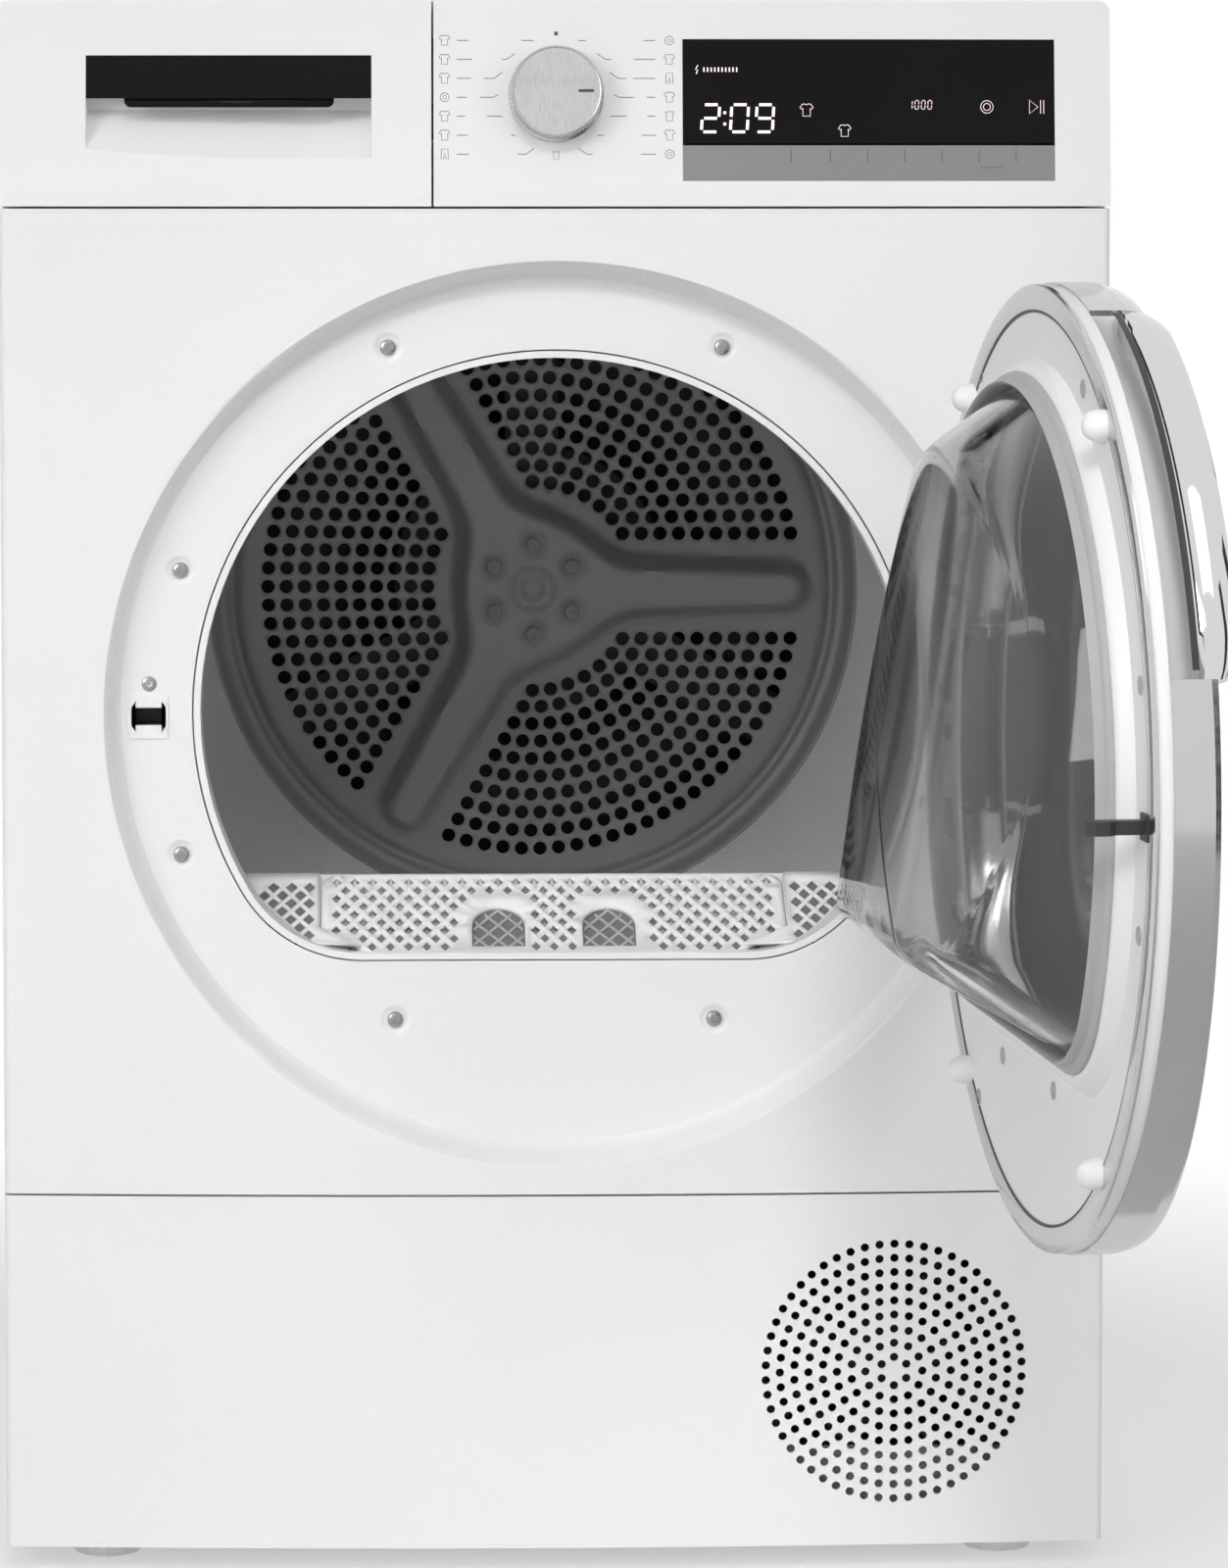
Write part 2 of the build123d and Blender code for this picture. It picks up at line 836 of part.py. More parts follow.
with BuildPart() as hinge_bracket:
    with BuildSketch(setback(dish_depth, 0, door_z)):
        with Locations((hinge_x + ear_half_width - bracket_width / 2, 0)):
            Rectangle(bracket_width, 2 * bracket_half_height)
    extrude(amount=bracket_plate)
    for ear_z in (door_z - ear_spacing / 2, door_z + ear_spacing / 2):
        with BuildSketch(Plane.XY.offset(ear_z - ear_thickness / 2)):
            with Locations((hinge_x, (pin_y + front_y + dish_depth) / 2)):
                Rectangle(2 * ear_half_width, front_y + dish_depth - pin_y)
            with Locations((hinge_x, pin_y)):
                Circle(ear_nose_radius)
        extrude(amount=ear_thickness)
    with BuildSketch(Plane.XY.offset(door_z - ear_top)):
        with Locations((hinge_x, pin_y)):
            Circle(pin_radius)
    extrude(amount=2 * ear_top)
finish(hinge_bracket, "hinge_bracket")

# ------------------------------------------------------------------ door
# The door's own plane: x towards the hinge, y up, and its normal out of the door.
swing = radians(door_open)
hinge_w = hinge_ahead + door_inner_depth
door_centre = (
    hinge_x - hinge_x * cos(swing) - hinge_w * sin(swing),
    pin_y - hinge_x * sin(swing) + hinge_w * cos(swing),
    door_z,
)
door_face = Plane(
    origin=door_centre,
    x_dir=(cos(swing), sin(swing), 0),
    z_dir=(sin(swing), -cos(swing), 0),
)
door_section = section_of(door_face)
door_axis = Axis(door_centre, door_face.z_dir)
grip_low = 180 - grip_end
grip_sweep = grip_end - grip_start


def door_bow(inset):
    """Everything of the door behind its bowed face, set in by a wall."""
    with BuildPart(mode=Mode.PRIVATE) as bowed:
        with BuildSketch(door_section.offset(-ring_outer - 1)):
            with Locations((0, door_crest - inset - bow_radius)):
                Circle(bow_radius)
            Rectangle(2 * ring_outer + 2, 2 * door_crest, mode=Mode.INTERSECT)
        extrude(amount=2 * ring_outer + 2)
    return bowed.part


def sector(inner, outer, start, sweep, low, high):
    """A block between two radii, two angles and two heights over the door's plane."""
    with BuildPart(mode=Mode.PRIVATE) as wedge:
        with BuildSketch(door_face.offset(low)):
            with BuildLine():
                near = CenterArc((0, 0), inner, start, sweep)
                far = CenterArc((0, 0), outer, start, sweep)
                Line(near @ 0, far @ 0)
                Line(near @ 1, far @ 1)
            make_face()
        extrude(amount=high - low)
    return wedge.part


def spoke_plane(angle):
    """A plane through the door's axis at an angle: its x leads outwards, its y out of the door."""
    turn = radians(angle)
    outward = door_face.x_dir * cos(turn) + door_face.y_dir * sin(turn)
    return Plane(origin=door_centre, x_dir=outward, z_dir=outward.cross(door_face.z_dir))


def door_hoop(inner, outer, low, inset):
    """A ring over the door's plane that ends under its bowed face."""
    with BuildPart(mode=Mode.PRIVATE) as hoop:
        with BuildSketch(door_face.offset(low)):
            Circle(outer)
            Circle(inner, mode=Mode.SUBTRACT)
        extrude(amount=door_crest)
        add(door_bow(inset), mode=Mode.INTERSECT)
    return hoop.part


def ear_notches():
    """Room in the door for the two ears of the hinge bracket."""
    notch_left = hinge_x - ear_nose_radius - ear_notch_gap
    with BuildPart(mode=Mode.PRIVATE) as notches:
        with BuildSketch(door_face.offset(-1)):
            for ear_v in (-ear_spacing / 2, ear_spacing / 2):
                with Locations(((notch_left + ring_outer + 2) / 2, ear_v)):
                    Rectangle(ring_outer + 2 - notch_left, ear_thickness + 2 * ear_notch_gap)
        extrude(amount=ear_notch_height + 1)
    return notches.part


with BuildPart() as door_ring:
    with BuildSketch(door_section):
        with BuildLine():
            Polyline(
                (ring_lip_radius, panel_rim),
                (ring_outer, panel_rim),
                (ring_outer, door_crest - 3 * ring_edge),
                (ring_outer - ring_edge / 3, door_crest - 1.5 * ring_edge),
                (ring_outer - ring_edge, door_crest),
                (ring_lip_radius, door_crest),
                close=True,
            )
        make_face()
    revolve(axis=door_axis)
    add(door_bow(0), mode=Mode.INTERSECT)
    add(
        door_hoop(ring_lip_radius + ring_wall, ring_outer - ring_wall, panel_rim - 1, ring_wall),
        mode=Mode.SUBTRACT,
    )
    # The inner wall is only a lip around the window
    with BuildSketch(door_face.offset(panel_rim - 1)):
        Circle(ring_lip_radius + ring_wall + 1)
    extrude(amount=ring_lip_bottom - panel_rim + 1, mode=Mode.SUBTRACT)
    add(
        sector(pocket_radius, ring_outer + 2, grip_low, grip_sweep, 0, 2 * door_crest),
        mode=Mode.SUBTRACT,
    )
    add(ear_notches(), mode=Mode.SUBTRACT)
finish(door_ring, "door_ring")

with BuildPart() as door_handle:
    with BuildSketch(spoke_plane(grip_low)):
        with Locations(((grip_inner_radius + grip_outer_radius) / 2, door_crest)):
            RectangleRounded(
                grip_outer_radius - grip_inner_radius,
                2 * (door_crest - grip_bottom),
                grip_round,
            )
    revolve(axis=door_axis, revolution_arc=grip_sweep)
    add(door_bow(-grip_bulge), mode=Mode.INTERSECT)
finish(door_handle, "door_handle")

with BuildPart() as door_inner_panel:
    with BuildSketch(door_face):
        Circle(door_radius)
    extrude(amount=panel_rim)
    with BuildSketch(door_face.offset(panel_sheet)):
        Circle(door_radius - panel_sheet)
    extrude(amount=panel_rim, mode=Mode.SUBTRACT)
    with BuildSketch(door_face):
        add(
            d_outline(
                bowl_base_radius + bowl_hole_gap,
                bowl_base_flat + bowl_hole_gap,
                bowl_base_corner,
            )
        )
    extrude(amount=panel_sheet, mode=Mode.SUBTRACT)
    add(ear_notches(), mode=Mode.SUBTRACT)

with BuildPart() as grip_pocket:
    end_sweep = degrees(panel_sheet / pocket_radius)
    add(
        sector(
            pocket_radius - panel_sheet,
            pocket_radius,
            grip_low - end_sweep,
            grip_sweep + 2 * end_sweep,
            0,
            door_crest,
        )
    )
    for end in (grip_low - end_sweep, grip_low + grip_sweep):
        add(
            sector(
                pocket_radius - panel_sheet,
                ring_outer - ring_wall - run_gap,
                end,
                end_sweep,
                0,
                door_crest,
            )
        )
    add(door_bow(ring_wall + run_gap), mode=Mode.INTERSECT)

with BuildPart() as inner_panel:
    add(door_inner_panel.part)
    add(grip_pocket.part)
finish(inner_panel, "door_inner_panel")

with BuildPart() as door_gasket:
    with BuildSketch(door_face):
        add(
            d_outline(
                opening_radius + gasket_overlap,
                opening_flat + gasket_bottom_overlap,
                opening_corner,
            )
        )
    extrude(amount=-gasket_height, taper=gasket_taper)
    with BuildSketch(door_face):
        add(
            d_outline(
                opening_radius - gasket_inner_drop,
                opening_flat - gasket_inner_drop,
                opening_corner - gasket_inner_drop,
            )
        )
    extrude(amount=-gasket_height, mode=Mode.SUBTRACT)
finish(door_gasket, "door_gasket")

bowl_lean = radians(bowl_tilt)


def bowl_form(inset):
    """The domed inside of the door, set in by a wall on all sides."""
    end_centre = door_face.from_local_coords((0, bowl_end_rise, inset - bowl_depth))
    end_plane = Plane(
        origin=end_centre,
        x_dir=door_face.x_dir,
        z_dir=door_face.z_dir * cos(bowl_lean) - door_face.y_dir * sin(bowl_lean),
    )
    with BuildPart(mode=Mode.PRIVATE) as form:
        with BuildSketch(door_face.offset(panel_sheet)):
            add(
                d_outline(
                    bowl_base_radius - inset,
                    bowl_base_flat - inset,
                    bowl_base_corner - inset,
                )
            )
        with BuildSketch(door_face.offset(inset / 2 - bowl_middle_depth)):
            with Locations((0, bowl_middle_rise)):
                add(
                    d_outline(
                        bowl_middle_radius - inset,
                        bowl_middle_flat - inset,
                        bowl_middle_corner - inset,
                    )
                )
        with BuildSketch(end_plane):
            add(
                d_outline(
                    bowl_end_radius - inset,
                    bowl_end_flat - inset,
                    bowl_end_corner - inset,
                )
            )
        loft(ruled=True)
    return form.part


with BuildPart() as door_bowl:
    add(bowl_form(0))
    # Flange that clamps it behind the inner panel
    with BuildSketch(door_face.offset(panel_sheet)):
        add(
            d_outline(
                bowl_base_radius + bowl_flange,
                bowl_base_flat + bowl_flange,
                bowl_base_corner + bowl_flange,
            )
        )
    extrude(amount=bowl_wall)
    add(bowl_form(bowl_wall), mode=Mode.SUBTRACT)
    with BuildSketch(door_face.offset(panel_sheet)):
        add(
            d_outline(
                bowl_base_radius - bowl_wall,
                bowl_base_flat - bowl_wall,
                bowl_base_corner - bowl_wall,
            )
        )
    extrude(amount=bowl_wall, mode=Mode.SUBTRACT)
finish(door_bowl, "door_bowl")

window_top = window_bottom + window_crown

with BuildPart() as door_window:
    with BuildSketch(door_section):
        with BuildLine():
            Polyline(
                (0, window_top),
                (window_flat_radius, window_top),
                (window_radius, window_bottom),
                (window_radius, window_bottom + window_thickness),
                (window_flat_radius, window_top + window_thickness),
                (0, window_top + window_thickness),
                close=True,
            )
        make_face()
    revolve(axis=door_axis)
finish(door_window, "door_window")

with BuildPart() as door_hook:
    with BuildSketch(door_face):
        with Locations((hook_u, -latch_drop)):
            Rectangle(hook_width + 2 * hook_foot, hook_height + 4 * hook_foot)
    extrude(amount=-hook_foot)
    with BuildSketch(door_section.offset(latch_drop - hook_height / 2)):
        with BuildLine():
            Polyline(
                (hook_u - hook_width / 2 + hook_beak, -hook_foot),
                (hook_u - hook_width / 2 + hook_beak, hook_beak + hook_width - hook_reach),
                (hook_u - hook_width / 2, hook_width - hook_reach),
                (hook_u - hook_width / 2, hook_beak - hook_reach),
                (hook_u - hook_width / 2 + hook_beak, -hook_reach),
                (hook_u + hook_width / 2 - hook_beak, -hook_reach),
                (hook_u + hook_width / 2, hook_beak - hook_reach),
                (hook_u + hook_width / 2, -hook_foot),
                close=True,
            )
        make_face()
    extrude(amount=hook_height)
finish(door_hook, "door_hook")

with BuildPart() as door_buffers:
    with BuildSketch(door_face):
        with GridLocations(2 * buffer_u, 2 * buffer_v, 2, 2):
            Circle(buffer_radius)
    extrude(amount=-buffer_height)
finish(door_buffers, "door_buffers")

with BuildPart() as hinge_leaf:
    with BuildSketch(door_section.offset(-knuckle_half_length)):
        with Locations((hinge_x, hinge_w)):
            Circle(knuckle_radius)
        leaf_left = hinge_x - leaf_reach
        with Locations((hinge_x - leaf_reach / 2, hinge_w)):
            Rectangle(leaf_reach, leaf_plate)
        with Locations((leaf_left + leaf_plate / 2, (hinge_w + panel_sheet) / 2)):
            Rectangle(leaf_plate, hinge_w - panel_sheet)
        with Locations((leaf_left + leaf_foot / 2, panel_sheet + leaf_plate / 2)):
            Rectangle(leaf_foot, leaf_plate)
        with Locations((hinge_x, hinge_w)):
            Circle(pin_radius + pin_clearance, mode=Mode.SUBTRACT)
    extrude(amount=2 * knuckle_half_length)
finish(hinge_leaf, "door_hinge_leaf")

# ------------------------------------------------------------------ front bulkhead
# Sections through the drum's axis are drawn with x as radius and y as depth.
drum_section = Plane(origin=(0, front_y, drum_z), x_dir=(1, 0, 0), z_dir=(0, 0, 1))
drum_axis = Axis((0, front_y, drum_z), (0, 1, 0))
lip_radius = opening_radius - lip_gap
lip_flat = opening_flat - lip_gap
lip_corner = opening_corner - lip_gap
lip_top = door_z - lip_flat + lip_wall
well_half_width = bag_half_width + well_clearance
well_front = bag_front_depth - well_clearance
ramp_slope = filter_rise / (filter_rear_depth - filter_front_depth)
fin_inner = filter_half_width + run_gap
fin_outer = fin_inner + pan_wall


def ramp_z(at_depth):
    """Height of the filter's sloping face at a depth."""
    return lip_top + ramp_slope * (at_depth - filter_front_depth)


def side_profile(points, left, right):
    """A block between two side planes from points given as depth and height."""
    with BuildPart(mode=Mode.PRIVATE) as block:
        with BuildSketch(Plane(origin=(left, front_y, 0), x_dir=(0, 1, 0), z_dir=(1, 0, 0))):
            with BuildLine():
                Polyline(*points, close=True)
            make_face()
        extrude(amount=right - left)
    return block.part


with BuildPart() as front_bulkhead:
    with BuildSketch(setback(bulkhead_depth, 0, (bulkhead_bottom + guide_bottom) / 2)):
        Rectangle(2 * side_inner, guide_bottom - bulkhead_bottom)
    extrude(amount=-bulkhead_wall)
    # Side rims that stand on the flanges of the side panels
    with BuildSketch(setback(bulkhead_depth, 0, (bulkhead_bottom + guide_bottom) / 2)):
        for side in (-1, 1):
            with Locations((side * (side_inner - bulkhead_wall / 2), 0)):
                Rectangle(bulkhead_wall, guide_bottom - bulkhead_bottom)
    extrude(amount=bulkhead_depth - (frame_y - front_y) - sheet)
    # Tunnel from the dish into the drum
    with BuildSketch(setback(dish_depth, 0, door_z)):
        add(d_outline(lip_radius, lip_flat, lip_corner))
    extrude(amount=-(bulkhead_depth - dish_depth))
    # Collar that carries the drum's front seal
    with BuildSketch(setback(plate_back, 0, drum_z)):
        Circle(collar_radius)
        Circle(collar_radius - collar_wall, mode=Mode.SUBTRACT)
    extrude(amount=-collar_length)
    with BuildSketch(setback(dish_depth, 0, door_z)):
        add(d_outline(lip_radius - lip_wall, lip_flat - lip_wall, lip_corner - lip_wall))
    extrude(amount=dish_depth - plate_back, mode=Mode.SUBTRACT)
    # Well for the filter bag under the tunnel
    well_back = bulkhead_depth
    well_block = side_profile(
        (
            (well_front - well_wall, bulkhead_bottom),
            (well_back, bulkhead_bottom),
            (well_back, lip_top - lip_wall / 2),
            (well_front - well_wall, lip_top - lip_wall / 2),
        ),
        -well_half_width - well_wall,
        well_half_width + well_wall,
    )
    well_room = side_profile(
        (
            (well_front, bulkhead_bottom - 1),
            (well_back, bulkhead_bottom - 1),
            (well_back, lip_top + lip_wall),
            (well_front, lip_top + lip_wall),
        ),
        -well_half_width,
        well_half_width,
    )
    add(well_block)
    add(well_room, mode=Mode.SUBTRACT)
    # Pan under the filter's ramp, with a fin on either side
    pan_rear = filter_rear_depth + run_gap
    pan_points = (
        (plate_back, ramp_z(plate_back) - pan_drop - pan_wall),
        (pan_rear + pan_wall, ramp_z(pan_rear + pan_wall) - pan_drop - pan_wall),
        (pan_rear + pan_wall, ramp_z(pan_rear)),
        (pan_rear, ramp_z(pan_rear)),
        (pan_rear, ramp_z(pan_rear) - pan_drop),
        (plate_back, ramp_z(plate_back) - pan_drop),
    )
    add(side_profile(pan_points, -fin_outer, fin_outer))
    fin_points = (
        (plate_back, ramp_z(plate_back) - pan_drop - pan_wall),
        (pan_rear + pan_wall, ramp_z(pan_rear + pan_wall) - pan_drop - pan_wall),
        (pan_rear + pan_wall, ramp_z(pan_rear)),
        (plate_back, ramp_z(plate_back)),
    )
    wing_points = (
        (plate_back, ramp_z(plate_back) - filter_plate),
        (wing_depth, ramp_z(wing_depth) - filter_plate),
        (wing_depth, ramp_z(wing_depth)),
        (plate_back, ramp_z(plate_back)),
    )
    for side in (-1, 1):
        fin_low, fin_high = sorted((side * fin_inner, side * fin_outer))
        wing_low, wing_high = sorted((side * fin_outer, side * wing_end))
        add(side_profile(fin_points, fin_low, fin_high))
        add(side_profile(wing_points, wing_low, wing_high))
finish(front_bulkhead, "front_bulkhead")

with BuildPart() as front_drum_seal:
    with BuildSketch(setback(plate_back + collar_length, 0, drum_z)):
        Circle(seal_outer)
        Circle(collar_radius, mode=Mode.SUBTRACT)
    extrude(amount=seal_length)
finish(front_drum_seal, "front_drum_seal")

# ------------------------------------------------------------------ lint filter
cover_front = filter_front_depth + run_gap
cover_floor = lip_top + run_gap
cover_points = (
    (cover_front, cover_floor),
    (filter_front_depth + (cover_floor + filter_plate - lip_top) / ramp_slope, cover_floor),
    (filter_rear_depth, ramp_z(filter_rear_depth) - filter_plate),
    (filter_rear_depth, ramp_z(filter_rear_depth)),
    (cover_front + run_gap, cover_floor + run_gap / 2),
    (cover_front, cover_floor + run_gap / 2),
)

window_outer_x = window_inner_x + window_width
lattice_half = int((filter_half_width - lattice_margin) / lattice_pitch)
lattice_spots = []
for column in range(-lattice_half, lattice_half + 1):
    lattice_x = column * lattice_pitch
    lattice_spots.append((lattice_x, (window_end_depth + filter_rear_depth) / 2))
    if not window_inner_x - lattice_hole < abs(lattice_x) < window_outer_x + lattice_hole:
        lattice_spots.append((lattice_x, (window_start_depth + window_end_depth) / 2))

with BuildPart() as filter_cover:
    add(side_profile(cover_points, -filter_half_width, filter_half_width))
    # Plan with a narrow front and rounded rear corners
    with BuildSketch(Plane(origin=(0, front_y, lip_top - filter_plate), x_dir=(1, 0, 0), z_dir=(0, 0, 1))):
        with BuildLine():
            Polyline(
                (-filter_front_half_width, cover_front),
                (filter_front_half_width, cover_front),
                (filter_half_width, filter_shoulder_depth),
                (filter_half_width, filter_rear_depth),
                (-filter_half_width, filter_rear_depth),
                (-filter_half_width, filter_shoulder_depth),
                close=True,
            )
        plan = make_face()
        fillet(plan.vertices().group_by(Axis.Y)[-1], filter_corner)
    extrude(amount=filter_rise + 2 * filter_plate, mode=Mode.INTERSECT)
    # Two arched finger windows
    with BuildSketch(Plane(origin=(0, front_y, lip_top), x_dir=(1, 0, 0), z_dir=(0, 0, 1))):
        for side in (-1, 1):
            window_x = side * (window_inner_x + window_width / 2)
            with Locations((window_x, window_start_depth)):
                Rectangle(
                    window_width,
                    window_end_depth - window_start_depth - window_width / 2,
                    align=(Align.CENTER, Align.MIN),
                )
            with Locations((window_x, window_end_depth - window_width / 2)):
                Circle(window_width / 2)
    extrude(amount=filter_rise, mode=Mode.SUBTRACT)
    # Diamond lattice behind and beside the windows
    with BuildSketch(Plane(origin=(0, front_y, lip_top), x_dir=(1, 0, 0), z_dir=(0, 0, 1))):
        with Locations(*lattice_spots):
            Rectangle(lattice_hole, lattice_hole, rotation=45)
    extrude(amount=filter_rise + filter_plate, mode=Mode.SUBTRACT)
finish(filter_cover, "filter_cover")

with BuildPart() as filter_mesh:
    bag_points = (
        (bag_front_depth, bag_bottom),
        (bag_rear_depth, bag_bottom),
        (bag_rear_depth, ramp_z(bag_rear_depth) - filter_plate),
        (bag_front_depth, ramp_z(bag_front_depth) - filter_plate),
    )
    add(side_profile(bag_points, -bag_half_width, bag_half_width))
finish(filter_mesh, "filter_mesh")

# ------------------------------------------------------------------ drum
with BuildPart() as drum_shell:
    with BuildSketch(drum_section):
        with BuildLine():
            Polyline(
                (drum_lip_radius, drum_front_depth + lip_turn),
                (drum_lip_radius, drum_front_depth),
                (drum_outer, drum_front_depth),
                (drum_outer, cone_start_depth),
                (rear_wall_radius + drum_sheet, cone_end_depth),
                (rear_wall_radius, cone_end_depth),
                (drum_radius, cone_start_depth - drum_sheet),
                (drum_radius, drum_front_depth + drum_sheet),
                (drum_lip_radius + drum_sheet, drum_front_depth + drum_sheet),
                (drum_lip_radius + drum_sheet, drum_front_depth + lip_turn),
                close=True,
            )
        make_face()
    revolve(axis=drum_axis)
finish(drum_shell, "drum_shell")


def star_outline(inset):
    """A hub with three blended arms, set in from its edge."""
    tip_radius = star_tip_width / 2 - inset
    tip_centre = star_reach - star_tip_width / 2
    with BuildSketch() as star:
        Circle(star_hub_radius - inset)
        with PolarLocations(0, lifter_count):
            Polygon(
                (0, star_root_width / 2 - inset),
                (0, inset - star_root_width / 2),
                (tip_centre, -tip_radius),
                (tip_centre, tip_radius),
                align=None,
            )
        with PolarLocations(tip_centre, lifter_count):
            Circle(tip_radius)
        hub_corners = star.vertices().filter_by(
            lambda corner: abs(Vector(corner).length - star_hub_radius + inset) < 1
        )
        fillet(hub_corners, star_blend)
    return star.sketch


hole_spots = []
hole_rows = int(perforation_reach / perforation_pitch)
arm_turn = 360 / lifter_count
for row in range(-hole_rows, hole_rows + 1):
    for column in range(-hole_rows, hole_rows + 1):
        spot = Vector(column * perforation_pitch, row * perforation_pitch)
        off_arm = (degrees(atan2(spot.Y, spot.X)) + arm_turn / 2) % arm_turn - arm_turn / 2
        beside_arm = spot.length * abs(sin(radians(off_arm)))
        beside_star = beside_arm > star_root_width / 2 + perforation_size
        if beside_star and perforation_clear < spot.length < perforation_reach:
            hole_spots.append(spot)

with BuildPart() as drum_rear_wall:
    with BuildSketch(drum_section):
        with BuildLine():
            Polyline(
                (0, rear_wall_depth),
                (rear_groove_inner, rear_wall_depth),
                (rear_groove_inner, rear_wall_depth + rear_groove_depth),
                (rear_groove_outer, rear_wall_depth + rear_groove_depth),
                (rear_groove_outer, rear_wall_depth),
                (rear_wall_radius, rear_wall_depth),
                (rear_wall_radius, cone_end_depth),
                (rear_wall_radius + drum_sheet, cone_end_depth),
                (rear_wall_radius + drum_sheet, rear_wall_depth + rear_wall_sheet),
                (rear_groove_outer + rear_wall_sheet, rear_wall_depth + rear_wall_sheet),
                (rear_groove_outer + rear_wall_sheet, rear_wall_depth + rear_groove_depth + rear_wall_sheet),
                (rear_groove_inner - rear_wall_sheet, rear_wall_depth + rear_groove_depth + rear_wall_sheet),
                (rear_groove_inner - rear_wall_sheet, rear_wall_depth + rear_wall_sheet),
                (0, rear_wall_depth + rear_wall_sheet),
                close=True,
            )
        make_face()
    revolve(axis=drum_axis)
    # Air holes between the arms
    with BuildSketch(setback(rear_wall_depth, 0, drum_z)):
        with Locations(*hole_spots):
            Rectangle(perforation_size, perforation_size)
    extrude(amount=-rear_wall_sheet, mode=Mode.SUBTRACT)
    # Pressed star, open behind
    with BuildSketch(setback(rear_wall_depth, 0, drum_z)):
        add(star_outline(0))
    extrude(amount=star_height, taper=star_taper)
    with BuildSketch(setback(rear_wall_depth + rear_wall_sheet, 0, drum_z)):
        add(star_outline(rear_wall_sheet))
    extrude(amount=star_height, taper=star_taper, mode=Mode.SUBTRACT)
    with BuildSketch(setback(rear_wall_depth - star_height, 0, drum_z)):
        Circle(hub_dimple_radius)
    extrude(amount=-hub_dimple_depth, mode=Mode.SUBTRACT)
finish(drum_rear_wall, "drum_rear_wall")

flange_depth = rear_wall_depth - star_height + rear_wall_sheet
shaft_end = bearing_front_depth + bearing_length + shaft_tail

with BuildPart() as drum_shaft:
    with BuildSketch(setback(flange_depth, 0, drum_z)):
        Circle(shaft_flange_radius)
    extrude(amount=-shaft_flange_thickness)
    with BuildSketch(setback(flange_depth, 0, drum_z)):
        Circle(shaft_radius)
    extrude(amount=flange_depth - shaft_end)
    # The hub's dimple is pressed into the flange
    with BuildSketch(setback(flange_depth, 0, drum_z)):
        Circle(hub_dimple_radius + run_gap)
    extrude(amount=rear_wall_sheet - hub_dimple_depth - run_gap, mode=Mode.SUBTRACT)
finish(drum_shaft, "drum_shaft")

with BuildPart() as drum_lifters:
    lifter_planes = []
    for number in range(lifter_count):
        turn = radians(lifter_first_angle + number * 360 / lifter_count)
        lifter_planes.append(
            Plane(
                origin=(
                    drum_radius * cos(turn),
                    front_y + lifter_start_depth + lifter_length / 2,
                    drum_z + drum_radius * sin(turn),
                ),
                x_dir=(0, 1, 0),
                z_dir=(-cos(turn), 0, -sin(turn)),
            )
        )
    with BuildSketch(*lifter_planes):
        lifter_root = Rectangle(lifter_length, lifter_root_width)
        chamfer(lifter_root.vertices(), lifter_root_width / 4)
    lifter_taper = degrees(atan2(lifter_root_width - lifter_crest_width, 2 * lifter_height))
    extrude(amount=lifter_height, taper=lifter_taper)
    with BuildSketch(setback(0, 0, drum_z)):
        Circle(drum_radius - pin_clearance)
    extrude(amount=-depth, mode=Mode.INTERSECT)
finish(drum_lifters, "drum_lifters")

# ------------------------------------------------------------------ rear bulkhead and bearing
cone_rise = (rear_wall_radius + drum_sheet - drum_outer) / (cone_end_depth - cone_start_depth)


def cone_depth(radius):
    """Depth of the drum's cone at a radius, on its outside."""
    return cone_start_depth + (radius - drum_outer) / cone_rise


seal_gap = 1.25 * run_gap
seat_gap = seal_gap + rear_seal_thickness

with BuildPart() as rear_bulkhead:
    with BuildSketch(setback(rear_plate_depth, 0, (rear_plate_bottom + rear_plate_top) / 2)):
        Rectangle(2 * side_inner, rear_plate_top - rear_plate_bottom)
    extrude(amount=-rear_plate_wall)
    with BuildSketch(setback(rear_plate_depth, 0, drum_z)):
        Circle(rear_air_radius)
        Circle(rear_hub_radius, mode=Mode.SUBTRACT)
        with PolarLocations(rear_air_radius / 2, lifter_count, start_angle=90):
            Rectangle(rear_air_radius + spoke_width, spoke_width, mode=Mode.SUBTRACT)
    extrude(amount=-rear_plate_wall, mode=Mode.SUBTRACT)
    with BuildSketch(setback(rear_plate_depth, 0, drum_z)):
        Circle(bearing_outer_radius + pin_clearance)
    extrude(amount=-rear_plate_wall, mode=Mode.SUBTRACT)
    # Collar with a sloping seat for the rear seal
    with BuildSketch(drum_section):
        with BuildLine():
            Polyline(
                (rear_seal_inner, rear_plate_depth),
                (rear_seal_inner, cone_depth(rear_seal_inner) + seat_gap),
                (rear_seal_outer, cone_depth(rear_seal_outer) + seat_gap),
                (rear_seal_outer, cone_depth(rear_seal_outer) + seat_gap + rear_plate_wall),
                (
                    rear_seal_inner + rear_plate_wall,
                    cone_depth(rear_seal_inner + rear_plate_wall) + seat_gap + rear_plate_wall,
                ),
                (rear_seal_inner + rear_plate_wall, rear_plate_depth),
                close=True,
            )
        make_face()
    revolve(axis=drum_axis)
    # Air inlet from the blower
    with BuildSketch(setback(rear_plate_depth, outlet_x, outlet_bottom + outlet_height / 2)):
        Rectangle(outlet_width - 2 * blower_wall, outlet_height - 2 * blower_wall)
    extrude(amount=-rear_plate_wall, mode=Mode.SUBTRACT)
finish(rear_bulkhead, "rear_bulkhead")

with BuildPart() as rear_drum_seal:
    with BuildSketch(drum_section):
        with BuildLine():
            Polyline(
                (rear_seal_inner, cone_depth(rear_seal_inner) + seal_gap),
                (rear_seal_outer, cone_depth(rear_seal_outer) + seal_gap),
                (rear_seal_outer, cone_depth(rear_seal_outer) + seat_gap),
                (rear_seal_inner, cone_depth(rear_seal_inner) + seat_gap),
                close=True,
            )
        make_face()
    revolve(axis=drum_axis)
finish(rear_drum_seal, "rear_drum_seal")

